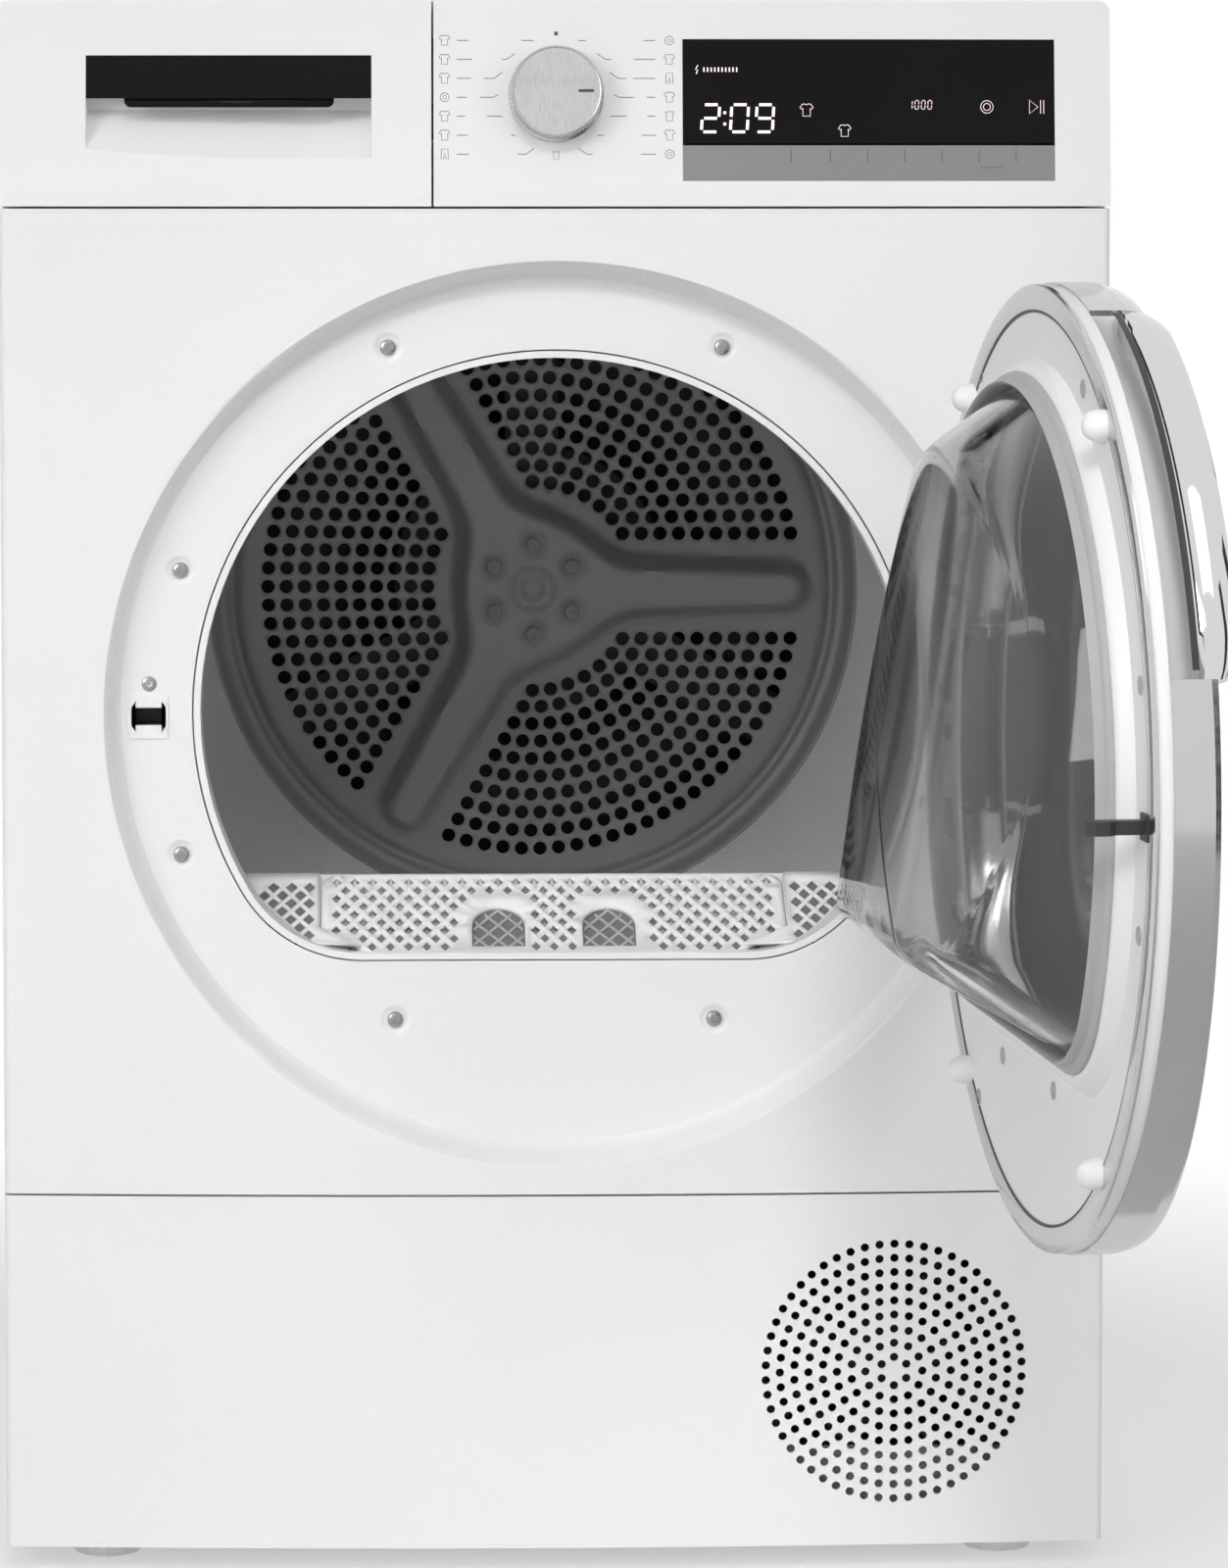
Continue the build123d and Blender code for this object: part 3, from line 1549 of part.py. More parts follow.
with BuildPart() as rear_bearing:
    with BuildSketch(setback(bearing_front_depth, 0, drum_z)):
        Circle(bearing_outer_radius)
        Circle(shaft_radius + pin_clearance, mode=Mode.SUBTRACT)
    extrude(amount=-bearing_length)
    with BuildSketch(setback(rear_plate_depth + rear_plate_wall, 0, drum_z)):
        RegularPolygon(bearing_outer_radius + bearing_collar, 12)
        Circle(shaft_radius + pin_clearance, mode=Mode.SUBTRACT)
    extrude(amount=-bearing_collar)
finish(rear_bearing, "rear_bearing")

# ------------------------------------------------------------------ drum rollers
roller_reach = drum_outer + roller_radius + roller_gap
roller_spots = [
    (turn * roller_reach * sin(radians(roller_angle)), drum_z - roller_reach * cos(radians(roller_angle)))
    for turn in (-1, 1)
]

with BuildPart() as roller_axles:
    for axle_x, axle_z in roller_spots:
        with BuildSketch(setback(plate_back, axle_x, axle_z)):
            RegularPolygon(axle_cap_radius, 6)
        extrude(amount=plate_back - roller_depth + run_gap)
        with BuildSketch(setback(plate_back, axle_x, axle_z)):
            Circle(axle_radius)
        extrude(amount=plate_back - roller_depth - roller_width - run_gap)
        with BuildSketch(setback(roller_depth + roller_width + run_gap, axle_x, axle_z)):
            RegularPolygon(axle_cap_radius, 6)
        extrude(amount=-axle_cap)
finish(roller_axles, "roller_axles")

for (axle_x, axle_z), roller_name in zip(roller_spots, ("roller_left", "roller_right")):
    with BuildPart() as roller:
        roller_origin = (axle_x, front_y + roller_depth, axle_z)
        roller_section = Plane(origin=roller_origin, x_dir=(1, 0, 0), z_dir=(0, 0, 1))
        with BuildSketch(roller_section):
            with BuildLine():
                Polyline(
                    (axle_radius + pin_clearance, 0),
                    (roller_radius, 0),
                    (roller_radius, roller_width),
                    (axle_radius + pin_clearance, roller_width),
                    close=True,
                )
            make_face()
        revolve(axis=Axis((axle_x, front_y, axle_z), (0, 1, 0)))
    finish(roller, roller_name)

# ------------------------------------------------------------------ belt, motor and blower
belt_gap = run_gap


def belt_outline(inset):
    """The loop around the drum and the motor's pulley, set out from both."""
    with BuildSketch() as loop:
        Circle(drum_outer + belt_gap + inset)
        with Locations((motor_x, motor_z - drum_z)):
            Circle(pulley_radius + belt_gap + inset)
        make_hull()
    return loop.sketch


with BuildPart() as drum_belt:
    with BuildSketch(setback(belt_depth, 0, drum_z)):
        add(belt_outline(belt_thickness))
        add(belt_outline(0), mode=Mode.SUBTRACT)
    extrude(amount=-belt_width)
finish(drum_belt, "drum_belt")

blower_end = blower_depth + blower_length
shaft_start = motor_start_depth - motor_nose
pulley_start = belt_depth - pulley_rim - run_gap

with BuildPart() as motor_body:
    with BuildSketch(setback(motor_start_depth, motor_x, motor_z)):
        RegularPolygon(motor_radius, motor_sides)
    extrude(amount=-motor_length)
    # Cradle down to the tray
    with BuildSketch(setback(motor_start_depth + motor_length / 4, motor_x, (motor_z + plinth_top) / 2)):
        Rectangle(motor_radius, motor_z - plinth_top)
    extrude(amount=-motor_length / 2)
    with BuildSketch(setback(motor_start_depth, motor_x, motor_z)):
        Circle(motor_shaft_radius + pin_clearance)
    extrude(amount=-motor_length, mode=Mode.SUBTRACT)
finish(motor_body, "motor_body")

with BuildPart() as motor_shaft:
    with BuildSketch(setback(shaft_start, motor_x, motor_z)):
        Circle(motor_shaft_radius)
    extrude(amount=shaft_start - blower_end + 2 * blower_wall + run_gap)
    with BuildSketch(setback(pulley_start, motor_x, motor_z)):
        Circle(pulley_radius)
    extrude(amount=-(belt_width + 2 * pulley_rim + 2 * run_gap))
    for rim_start in (pulley_start, belt_depth + belt_width + run_gap):
        with BuildSketch(setback(rim_start, motor_x, motor_z)):
            RegularPolygon(pulley_radius + 2 * belt_thickness, motor_sides)
        extrude(amount=-pulley_rim)
finish(motor_shaft, "motor_shaft")


def blower_form(inset):
    """The fan case with its chimney and the duct to the rear bulkhead."""
    chimney_top = outlet_bottom + outlet_height - inset
    with BuildPart(mode=Mode.PRIVATE) as form:
        with BuildSketch(setback(blower_depth + inset, motor_x, motor_z)):
            Circle(blower_radius - inset)
        extrude(amount=2 * inset - blower_length)
        with BuildSketch(setback(blower_depth + inset, outlet_x, (motor_z + chimney_top) / 2)):
            Rectangle(outlet_width - 2 * inset, chimney_top - motor_z)
        extrude(amount=2 * inset - blower_length)
        duct_middle = outlet_bottom + outlet_height / 2
        with BuildSketch(setback(blower_end - 2 * inset, outlet_x, duct_middle)):
            Rectangle(outlet_width - 2 * inset, outlet_height - 2 * inset)
        extrude(amount=blower_end - 2 * inset - rear_plate_depth)
    return form.part


with BuildPart() as blower_housing:
    add(blower_form(0))
    add(blower_form(blower_wall), mode=Mode.SUBTRACT)
    with BuildSketch(setback(blower_depth, motor_x, motor_z)):
        Circle(blower_inlet_radius)
    extrude(amount=-blower_wall, mode=Mode.SUBTRACT)
    # Feet down to the tray
    with BuildSketch(setback(blower_depth, motor_x, plinth_top + blower_radius / 4)):
        with GridLocations(blower_radius, 0, 2, 1):
            Rectangle(blower_foot, blower_radius / 2)
    extrude(amount=-blower_foot)
    with BuildSketch(setback(blower_depth + blower_wall, motor_x, motor_z)):
        Circle(blower_radius - blower_wall)
    extrude(amount=2 * blower_wall - blower_length, mode=Mode.SUBTRACT)
finish(blower_housing, "blower_housing")

wheel_start = blower_depth + 4 * blower_wall
wheel_end = blower_end - 4 * blower_wall

with BuildPart() as blower_wheel:
    with BuildSketch(setback(wheel_end, motor_x, motor_z)):
        RegularPolygon(blower_wheel_radius, 2 * blower_blades)
    extrude(amount=blower_wall)
    with BuildSketch(setback(wheel_start, motor_x, motor_z)):
        RegularPolygon(blower_wheel_radius, 2 * blower_blades)
        RegularPolygon(blower_wheel_radius - 4 * blower_wall, 2 * blower_blades, mode=Mode.SUBTRACT)
    extrude(amount=-blower_wall)
    # Slanting blades
    with BuildSketch(setback(wheel_start, motor_x, motor_z)):
        with PolarLocations((blower_inlet_radius + blower_wheel_radius) / 2, blower_blades):
            Rectangle(
                blower_wheel_radius - blower_inlet_radius - blower_wall,
                blower_wall,
                rotation=blower_blade_slant,
            )
    extrude(amount=wheel_start - wheel_end)
    with BuildSketch(setback(wheel_end, motor_x, motor_z)):
        RegularPolygon(2 * motor_shaft_radius, 6)
    extrude(amount=(wheel_end - wheel_start) / 2)
    with BuildSketch(setback(wheel_start, motor_x, motor_z)):
        Circle(motor_shaft_radius + pin_clearance)
    extrude(amount=wheel_start - wheel_end, mode=Mode.SUBTRACT)
finish(blower_wheel, "blower_wheel")

# ------------------------------------------------------------------ cooling fan
fan_start = shroud_start_depth + fan_setback
support_depth = shroud_start_depth + shroud_depth - shroud_wall

with BuildPart() as fan_shroud:
    with BuildSketch(setback(shroud_start_depth, grille_x, grille_z)):
        Rectangle(shroud_side, shroud_side)
        Circle(fan_radius + shroud_wall, mode=Mode.SUBTRACT)
    extrude(amount=-shroud_wall)
    with BuildSketch(setback(shroud_start_depth, grille_x, grille_z)):
        Circle(fan_radius + 2 * shroud_wall)
        Circle(fan_radius + shroud_wall, mode=Mode.SUBTRACT)
    extrude(amount=-shroud_depth)
    # Slanting guard bars in front
    with BuildSketch(setback(shroud_start_depth, grille_x, grille_z)):
        for slant in (-45, 45):
            with Locations(Rot(0, 0, slant)):
                with GridLocations(2 * fan_radius / grid_bars, 0, grid_bars, 1):
                    Rectangle(grid_bar_width, 2 * fan_radius + 2 * shroud_wall)
        Circle(fan_radius + 1.5 * shroud_wall, mode=Mode.INTERSECT)
    extrude(amount=-shroud_wall)
    # Motor carrier with its pin, on three arms
    with BuildSketch(setback(support_depth, grille_x, grille_z)):
        Circle(fan_hub_radius)
        with PolarLocations(fan_radius / 2, 3, start_angle=90):
            Rectangle(fan_radius + 3 * shroud_wall, shroud_support)
        Circle(fan_radius + 1.5 * shroud_wall, mode=Mode.INTERSECT)
    extrude(amount=-shroud_wall)
    with BuildSketch(setback(support_depth, grille_x, grille_z)):
        Circle(fan_pin_radius)
    extrude(amount=support_depth - fan_start - shroud_wall)
    # Foot on the tray
    with BuildSketch(setback(shroud_start_depth, grille_x, (tray_floor_top + grille_z - fan_radius) / 2)):
        Rectangle(fan_radius, grille_z - fan_radius - tray_floor_top)
    extrude(amount=-shroud_wall)
finish(fan_shroud, "fan_shroud")

with BuildPart() as cooling_fan:
    with BuildSketch(setback(fan_start, grille_x, grille_z)):
        Circle(fan_hub_radius)
    extrude(amount=-fan_width)
    # Twisted blades
    for number in range(fan_blades):
        turn = radians(number * 360 / fan_blades)
        blade_plane = Plane(
            origin=(
                grille_x + fan_hub_radius / 2 * cos(turn),
                front_y + fan_start + fan_width / 2,
                grille_z + fan_hub_radius / 2 * sin(turn),
            ),
            x_dir=(0, 1, 0),
            z_dir=(cos(turn), 0, sin(turn)),
        )
        with BuildSketch(blade_plane):
            Rectangle(fan_blade_thickness, fan_blade_width / 2, rotation=90 - fan_blade_twist)
        extrude(amount=fan_radius - fan_hub_radius / 2)
    with BuildSketch(setback(fan_start, grille_x, grille_z)):
        Circle(fan_radius - fan_blade_gap)
    extrude(amount=-fan_width, mode=Mode.INTERSECT)
    with BuildSketch(setback(fan_start + fan_width, grille_x, grille_z)):
        Circle(fan_pin_radius + pin_clearance)
    extrude(amount=fan_width - shroud_wall, mode=Mode.SUBTRACT)
finish(cooling_fan, "cooling_fan")

# ------------------------------------------------------------------ base tray
tray_front = front_y + tray_front_depth
tray_rear = rear_y - 2 * sheet - run_gap
tray_middle = (tray_front + tray_rear) / 2
tray_length = tray_rear - tray_front
duct_middle_x = (duct_left + duct_right) / 2
duct_width = duct_right - duct_left
duct_back = front_y + duct_end_depth
foot_spots = [
    (side * (half_width - foot_inset_x), spot_y)
    for spot_y in (front_y + foot_inset_front, rear_y - foot_inset_rear)
    for side in (-1, 1)
]

with BuildPart() as base_tray:
    with BuildSketch(Plane.XY.offset(tray_bottom)):
        with Locations((0, tray_middle)):
            Rectangle(2 * side_inner, tray_length)
    extrude(amount=tray_height)
    lower_edges = base_tray.faces().sort_by(Axis.Z)[0].edges()
    chamfer(lower_edges, tray_edge / 2)
    with BuildSketch(Plane.XY.offset(tray_floor_top)):
        with Locations((0, tray_middle)):
            Rectangle(2 * side_inner - 2 * tray_wall, tray_length - 2 * tray_wall)
    extrude(amount=tray_height, mode=Mode.SUBTRACT)
    # Walls of the air duct
    with BuildSketch(Plane.XY.offset(tray_bottom + tray_floor / 2)):
        with Locations((duct_middle_x, (tray_front + duct_back) / 2)):
            Rectangle(duct_width + 2 * duct_wall, duct_back - tray_front)
            Rectangle(duct_width, duct_back - tray_front, mode=Mode.SUBTRACT)
    extrude(amount=duct_top - tray_bottom - tray_floor / 2)
    # Plinths under the coils, the motor, the blower and the compressor
    with BuildSketch(Plane.XY.offset(tray_bottom + tray_floor / 2)):
        for coil_depth, coil_length in (
            (evaporator_depth, evaporator_length),
            (condenser_depth, condenser_length),
        ):
            with Locations((duct_middle_x, front_y + coil_depth + coil_length / 2)):
                Rectangle(duct_width, coil_length)
        with Locations((motor_x, front_y + motor_start_depth + motor_length / 2)):
            Rectangle(motor_radius + 2 * plinth_height, motor_length / 2)
        with Locations((motor_x, front_y + blower_depth + blower_foot / 2)):
            Rectangle(blower_radius + 2 * blower_foot, blower_foot)
        with Locations((compressor_x, front_y + compressor_depth)):
            Rectangle(1.5 * compressor_radius, 1.5 * compressor_radius)
    extrude(amount=plinth_top - tray_bottom - tray_floor / 2)
    # Threaded bosses for the feet
    with BuildSketch(Plane.XY.offset(tray_bottom)):
        with Locations(*foot_spots):
            RegularPolygon(foot_boss_radius, 6)
    extrude(amount=foot_boss_height)
    with BuildSketch(Plane.XY.offset(tray_bottom)):
        with Locations(*foot_spots):
            Circle(foot_stud_radius + pin_clearance)
    extrude(amount=foot_boss_height, mode=Mode.SUBTRACT)
finish(base_tray, "base_tray")

foot_names = ("foot_front_left", "foot_front_right", "foot_rear_left", "foot_rear_right")
for (foot_x, foot_y), foot_name in zip(foot_spots, foot_names):
    with BuildPart() as foot:
        with BuildSketch():
            with Locations((foot_x, foot_y)):
                RegularPolygon(foot_pad_radius, foot_pad_sides)
        extrude(amount=foot_pad_height)
        with BuildSketch(Plane.XY.offset(foot_pad_height)):
            with Locations((foot_x, foot_y)):
                Circle(foot_stud_radius)
        extrude(amount=foot_stud_length)
    finish(foot, foot_name)

# ------------------------------------------------------------------ heat pump
coil_bottom = plinth_top
coil_top = duct_top - coil_gap


def finned_coil(start_depth, length):
    """A block of upright fins on a web, with a tube plate on either side."""
    span = duct_width - 2 * coil_gap
    with BuildPart(mode=Mode.PRIVATE) as coil:
        with BuildSketch(setback(start_depth, duct_middle_x, 0)):
            with Locations((0, coil_bottom + coil_web / 2)):
                Rectangle(span, coil_web)
            with Locations((0, (coil_bottom + coil_top) / 2)):
                with GridLocations((span - fin_thickness) / (coil_fins - 1), 0, coil_fins, 1):
                    Rectangle(fin_thickness, coil_top - coil_bottom)
        extrude(amount=-length)
    return coil.part


with BuildPart() as evaporator_coil:
    add(finned_coil(evaporator_depth, evaporator_length))
finish(evaporator_coil, "evaporator_coil")

with BuildPart() as condenser_coil:
    add(finned_coil(condenser_depth, condenser_length))
finish(condenser_coil, "condenser_coil")

with BuildPart() as air_duct_cover:
    with BuildSketch(Plane.XY.offset(duct_top)):
        with Locations((duct_middle_x, (tray_front + duct_back) / 2)):
            Rectangle(duct_width + 2 * duct_wall, duct_back - tray_front)
    extrude(amount=duct_wall)
    # Neck up to the filter well, with a flange under it
    neck_front = front_y + neck_front_depth
    neck_back = front_y + bulkhead_depth
    neck_half = min(-duct_left, duct_right)
    with BuildSketch(Plane.XY.offset(duct_top + duct_wall)):
        with Locations((duct_middle_x, (neck_front + neck_back) / 2)):
            Rectangle(duct_width, neck_back - neck_front)
    extrude(amount=bulkhead_bottom - duct_top - duct_wall)
    with BuildSketch(Plane.XY.offset(bulkhead_bottom - neck_wall)):
        with Locations((0, front_y + (well_front - well_wall + plate_back) / 2)):
            Rectangle(2 * (well_half_width + well_wall), plate_back - well_front + well_wall)
    extrude(amount=neck_wall)
    with BuildSketch(Plane.XY.offset(duct_top)):
        with Locations((0, (neck_front + neck_back) / 2)):
            Rectangle(2 * (neck_half - neck_wall), neck_back - neck_front - 2 * neck_wall)
    extrude(amount=bulkhead_bottom - duct_top, mode=Mode.SUBTRACT)
finish(air_duct_cover, "air_duct_cover")

compressor_y = front_y + compressor_depth

with BuildPart() as compressor:
    with BuildSketch(Plane.XY.offset(plinth_top)):
        with Locations((compressor_x, compressor_y)):
            Circle(compressor_radius)
    extrude(amount=compressor_height + compressor_dome)
    chamfer(compressor.edges().group_by(Axis.Z)[-1], compressor_dome)
finish(compressor, "compressor")

with BuildPart() as refrigerant_pipes:
    pipe_y = compressor_y - compressor_radius / 2
    for pipe_x, coil_y in (
        (compressor_x + compressor_radius / 3, front_y + condenser_depth + condenser_length / 2),
        (compressor_x - compressor_radius / 3, front_y + evaporator_depth + evaporator_length / 2),
    ):
        with BuildLine() as pipe_path:
            FilletPolyline(
                (pipe_x, pipe_y, plinth_top + compressor_height + compressor_dome),
                (pipe_x, pipe_y, pipe_height),
                (pipe_x, coil_y, pipe_height),
                (pipe_x, coil_y, duct_top - coil_gap - pipe_bend),
                (duct_left - duct_wall, coil_y, duct_top - coil_gap - pipe_bend),
                radius=pipe_bend,
            )
        with BuildSketch(Plane(origin=pipe_path.line @ 0, z_dir=pipe_path.line % 0)):
            RegularPolygon(pipe_radius, 5)
        sweep(path=pipe_path.line)
finish(refrigerant_pipes, "refrigerant_pipes")
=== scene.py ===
import json
import math
from itertools import product

import bmesh
import bpy
from mathutils import Matrix, Vector
from mathutils.geometry import delaunay_2d_cdt
from mathutils.kdtree import KDTree


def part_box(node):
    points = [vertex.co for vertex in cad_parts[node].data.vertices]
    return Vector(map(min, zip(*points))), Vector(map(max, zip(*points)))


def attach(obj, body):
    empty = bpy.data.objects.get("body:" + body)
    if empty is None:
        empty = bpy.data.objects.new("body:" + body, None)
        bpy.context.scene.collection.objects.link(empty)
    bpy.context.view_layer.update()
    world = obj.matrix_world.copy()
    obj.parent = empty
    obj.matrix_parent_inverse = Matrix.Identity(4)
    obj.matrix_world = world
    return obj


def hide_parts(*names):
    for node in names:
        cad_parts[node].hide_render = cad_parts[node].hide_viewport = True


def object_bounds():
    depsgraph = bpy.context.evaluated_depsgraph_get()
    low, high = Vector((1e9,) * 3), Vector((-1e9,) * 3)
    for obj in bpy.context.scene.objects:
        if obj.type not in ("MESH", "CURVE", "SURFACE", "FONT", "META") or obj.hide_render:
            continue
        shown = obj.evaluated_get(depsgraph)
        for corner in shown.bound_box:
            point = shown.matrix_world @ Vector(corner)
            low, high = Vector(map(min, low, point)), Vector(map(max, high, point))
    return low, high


# A free-standing clothes dryer with its round door open. Metres, in the model's frame:
# X to the right, Y to the rear, Z up, origin on the floor under the cabinet's middle.

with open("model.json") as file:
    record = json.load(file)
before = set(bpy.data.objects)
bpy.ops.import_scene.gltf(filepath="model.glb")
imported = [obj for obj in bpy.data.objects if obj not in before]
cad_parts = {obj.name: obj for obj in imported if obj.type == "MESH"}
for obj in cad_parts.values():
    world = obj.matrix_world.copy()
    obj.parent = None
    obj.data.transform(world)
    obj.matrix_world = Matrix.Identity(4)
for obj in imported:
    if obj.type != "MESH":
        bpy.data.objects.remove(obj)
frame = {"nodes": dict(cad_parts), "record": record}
cad_low, cad_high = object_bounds()
nodes = frame["nodes"]
joints = {j["name"]: j for j in frame["record"]["behaviour"]["joints"]}
mm = 0.001

# ------------------------------------------------------------------ reference places
front_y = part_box("lower_front_panel")[0].y
rear_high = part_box("rear_panel")[1]
half_width = rear_high.x
drum_axis = Vector(joints["drum_spin"]["pos_m"])
hinge = Vector(joints["door_hinge"]["pos_m"])
door_open = math.radians(-joints["door_hinge"]["range_deg"][0])
front_bow = 10 * mm
bow_radius = (half_width**2 + front_bow**2) / (2 * front_bow)
towards_front = Vector((0, -1, 0))


def bow(x):
    """How far the bowed front lies behind its crest at a distance from the middle."""
    return bow_radius - math.sqrt(bow_radius**2 - x * x)


# ------------------------------------------------------------------ materials
def fill(tree, node, inputs):
    """Set a node's inputs to values, or link them to the outputs of other nodes."""
    for name, value in inputs.items():
        if isinstance(value, bpy.types.NodeSocket):
            tree.links.new(value, node.inputs[name])
        else:
            node.inputs[name].default_value = value


def add_node(tree, kind, inputs, **settings):
    """A new shader node with its settings and inputs."""
    node = tree.nodes.new("ShaderNode" + kind)
    for name, value in settings.items():
        setattr(node, name, value)
    fill(tree, node, inputs)
    return node


def noise(tree, coords, scale, detail, stretch=(1, 1, 1)):
    """Noise over the object's own coordinates, stretched along an axis for a grain."""
    mapped = add_node(tree, "Mapping", {"Scale": stretch, "Vector": coords}).outputs["Vector"]
    return add_node(tree, "TexNoise", {"Scale": scale, "Detail": detail, "Vector": mapped}).outputs["Fac"]


def spread(tree, value, low, high):
    """Map a 0 to 1 value onto a range, with its contrast raised."""
    inputs = {"From Min": 0.3, "From Max": 0.7, "To Min": low, "To Max": high, "Value": value}
    return add_node(tree, "MapRange", inputs).outputs["Result"]


def finish_of(name, color, rough, metallic=0.0, grain=1500, stretch=(1, 1, 1), tone=0.02,
              rough_spread=0.04, bump=0.02, bump_depth=0.0001, coat=0.0, specular=0.5,
              transmission=0.0, ior=1.45, glow=0.0, fine_tone=0.0, anisotropy=0.0):
    """A surface with a colour that drifts, a roughness that varies and a fine relief."""
    material = bpy.data.materials.new(name)
    material.use_nodes = True
    tree = material.node_tree
    shader = tree.nodes["Principled BSDF"]
    coords = add_node(tree, "TexCoord", {}).outputs["Object"]
    fine = noise(tree, coords, grain, 4.0, stretch)
    broad = noise(tree, coords, 9.0, 2.0)
    dark = [max(c * (1 - tone), 0) for c in color]
    light = [min(c * (1 + tone), 1) for c in color]
    inputs = {"A": (*dark, 1), "B": (*light, 1), "Factor": spread(tree, broad, 0, 1)}
    drift = add_node(tree, "Mix", inputs, data_type="RGBA").outputs["Result"]
    inputs = {"Factor": fine_tone, "A": drift, "B": spread(tree, fine, 0, 1)}
    speckle = add_node(tree, "Mix", inputs, data_type="RGBA", blend_type="MULTIPLY")
    relief = add_node(tree, "Bump", {"Strength": bump, "Distance": bump_depth, "Height": fine})
    fill(tree, shader, {
        "Base Color": speckle.outputs["Result"],
        "Roughness": spread(tree, fine, rough - rough_spread, rough + rough_spread),
        "Normal": relief.outputs["Normal"],
        "Metallic": metallic,
        "Coat Weight": coat,
        "Coat Roughness": 0.04,
        "Specular IOR Level": specular,
        "Transmission Weight": transmission,
        "IOR": ior,
        "Anisotropic": anisotropy,
    })
    if glow:
        fill(tree, shader, {"Emission Color": (*color, 1), "Emission Strength": glow})
    return material


enamel = finish_of(
    "white_enamel", (0.84, 0.84, 0.845), 0.3, grain=900, bump=0.05, coat=0.1, tone=0.008, specular=0.4
)
white = finish_of("white_plastic", (0.84, 0.84, 0.84), 0.36, bump=0.08, tone=0.01)
white_satin = finish_of("filter_plastic", (0.9, 0.9, 0.89), 0.5, grain=1800, bump=0.12, tone=0.015)
sheet_metal = {"grain": 160, "tone": 0.1, "bump": 0.1}
zinc = finish_of("galvanised_steel", (0.34, 0.345, 0.35), 0.4, 1.0, rough_spread=0.12, **sheet_metal)
stud_zinc = finish_of(
    "stud_steel", (0.66, 0.66, 0.67), 0.3, 1.0, grain=1100, stretch=(1, 1, 6), tone=0.05, bump=0.2
)
screw_steel = finish_of("screw_steel", (0.36, 0.36, 0.37), 0.26, 1.0, grain=2500, tone=0.06, bump=0.2)
pressed = {"tone": 0.04, "rough_spread": 0.12, "bump": 0.45, "bump_depth": 0.0003}
# The drum's steel is drawn near white and not metallic: painted light for the bright reflections at the
# drum's front
drum_steel = finish_of("drum_steel", (0.92, 0.92, 0.925), 0.44, grain=1300, fine_tone=0.18, **pressed)
wall_steel = finish_of("drum_wall_steel", (0.46, 0.46, 0.464), 0.5, 0.3, fine_tone=0.25, **pressed)
knob_metal = finish_of(
    "knob_metal", (0.5, 0.5, 0.505), 0.22, 1.0, grain=1300, tone=0.04, rough_spread=0.06, bump=0.1
)
pale_grey = finish_of("pale_grey_pin", (0.42, 0.42, 0.425), 0.45, grain=1300, tone=0.03, bump=0.1)
plated = {"grain": 260, "bump": 0.01}
chrome = finish_of("chrome", (0.58, 0.58, 0.585), 0.14, 1.0, rough_spread=0.03, **plated)
bright_chrome = finish_of("bright_chrome", (0.66, 0.66, 0.665), 0.05, 1.0, rough_spread=0.01, **plated)
# Zinc darkened as painted shade, for the bearing cover seen through the drum wall's holes
shade_dark_zinc = finish_of("zinc_darkened_as_shade", (0.07, 0.07, 0.072), 0.5, 0.6, rough_spread=0.1, **sheet_metal)
hinge_steel = finish_of("hinge_steel", (0.12, 0.12, 0.125), 0.42, 1.0, grain=900, tone=0.08, bump=0.2)
glossy = {"grain": 1800, "tone": 0.1}
gloss_black = finish_of("black_gloss", (0.006, 0.006, 0.006), 0.1, rough_spread=0.03, specular=0.1, **glossy)
label_black = finish_of("label_black", (0.006, 0.006, 0.006), 0.16, specular=0.12, **glossy)
smoke = finish_of("smoked_window", (0.1, 0.1, 0.102), 0.06, tone=0.1, rough_spread=0.02, coat=0.5)
moulded = {"bump": 0.2, "rough_spread": 0.08}
black = finish_of("black_plastic", (0.035, 0.035, 0.037), 0.45, grain=1600, tone=0.1, **moulded)
grey = finish_of("grey_plastic", (0.5, 0.5, 0.51), 0.5, grain=1300, tone=0.03, **moulded)
dark_grey = finish_of("dark_grey_plastic", (0.16, 0.16, 0.165), 0.5, grain=1300, tone=0.05, **moulded)
rubber = finish_of(
    "grey_rubber", (0.44, 0.44, 0.445), 0.55, grain=1900, bump=0.3, tone=0.03, rough_spread=0.08
)
belt_rubber = finish_of(
    "belt_rubber", (0.05, 0.05, 0.05), 0.7, stretch=(1, 8, 1), bump=0.6, tone=0.08, rough_spread=0.1
)
felt = finish_of(
    "felt", (0.62, 0.61, 0.58), 0.95, grain=2600, bump=0.9, bump_depth=0.0005, tone=0.06, fine_tone=0.3
)
mesh_cloth = finish_of(
    "filter_fabric", (0.25, 0.25, 0.25), 0.85, grain=3200, bump=0.8, bump_depth=0.0004, tone=0.04,
    fine_tone=0.35
)
cast = finish_of(
    "cast_black", (0.04, 0.04, 0.042), 0.4, grain=700, bump=0.35, bump_depth=0.0003, tone=0.12,
    rough_spread=0.1
)
winding = finish_of("motor_paint", (0.1, 0.1, 0.105), 0.42, grain=800, bump=0.3, tone=0.1, rough_spread=0.1)
fins = finish_of(
    "fin_aluminium", (0.74, 0.75, 0.76), 0.34, 1.0, grain=600, stretch=(8, 1, 1), bump=0.4, tone=0.05,
    rough_spread=0.1
)
copper = finish_of(
    "copper_tube", (0.72, 0.4, 0.26), 0.28, 1.0, grain=500, bump=0.15, tone=0.12, rough_spread=0.1
)
brushed = finish_of(
    "brushed_aluminium", (0.62, 0.62, 0.625), 0.34, 1.0, stretch=(6, 1, 0.06), tone=0.03,
    fine_tone=0.3, rough_spread=0.1, bump=0.25, anisotropy=0.4
)
strip_metal = finish_of(
    "strip_metal", (0.3, 0.3, 0.303), 0.36, 1.0, stretch=(0.04, 1, 6), fine_tone=0.14,
    rough_spread=0.08, bump=0.15, anisotropy=0.3
)
clear = finish_of(
    "bowl_plastic", (0.76, 0.765, 0.77), 0.03, grain=40, tone=0.01, rough_spread=0.01, transmission=1.0,
    ior=1.47
)
ink = finish_of("print_grey", (0.07, 0.07, 0.072), 0.5, tone=0.05)
lit = finish_of("lit_segments", (0.95, 0.74, 0.76), 0.4, glow=0.75)

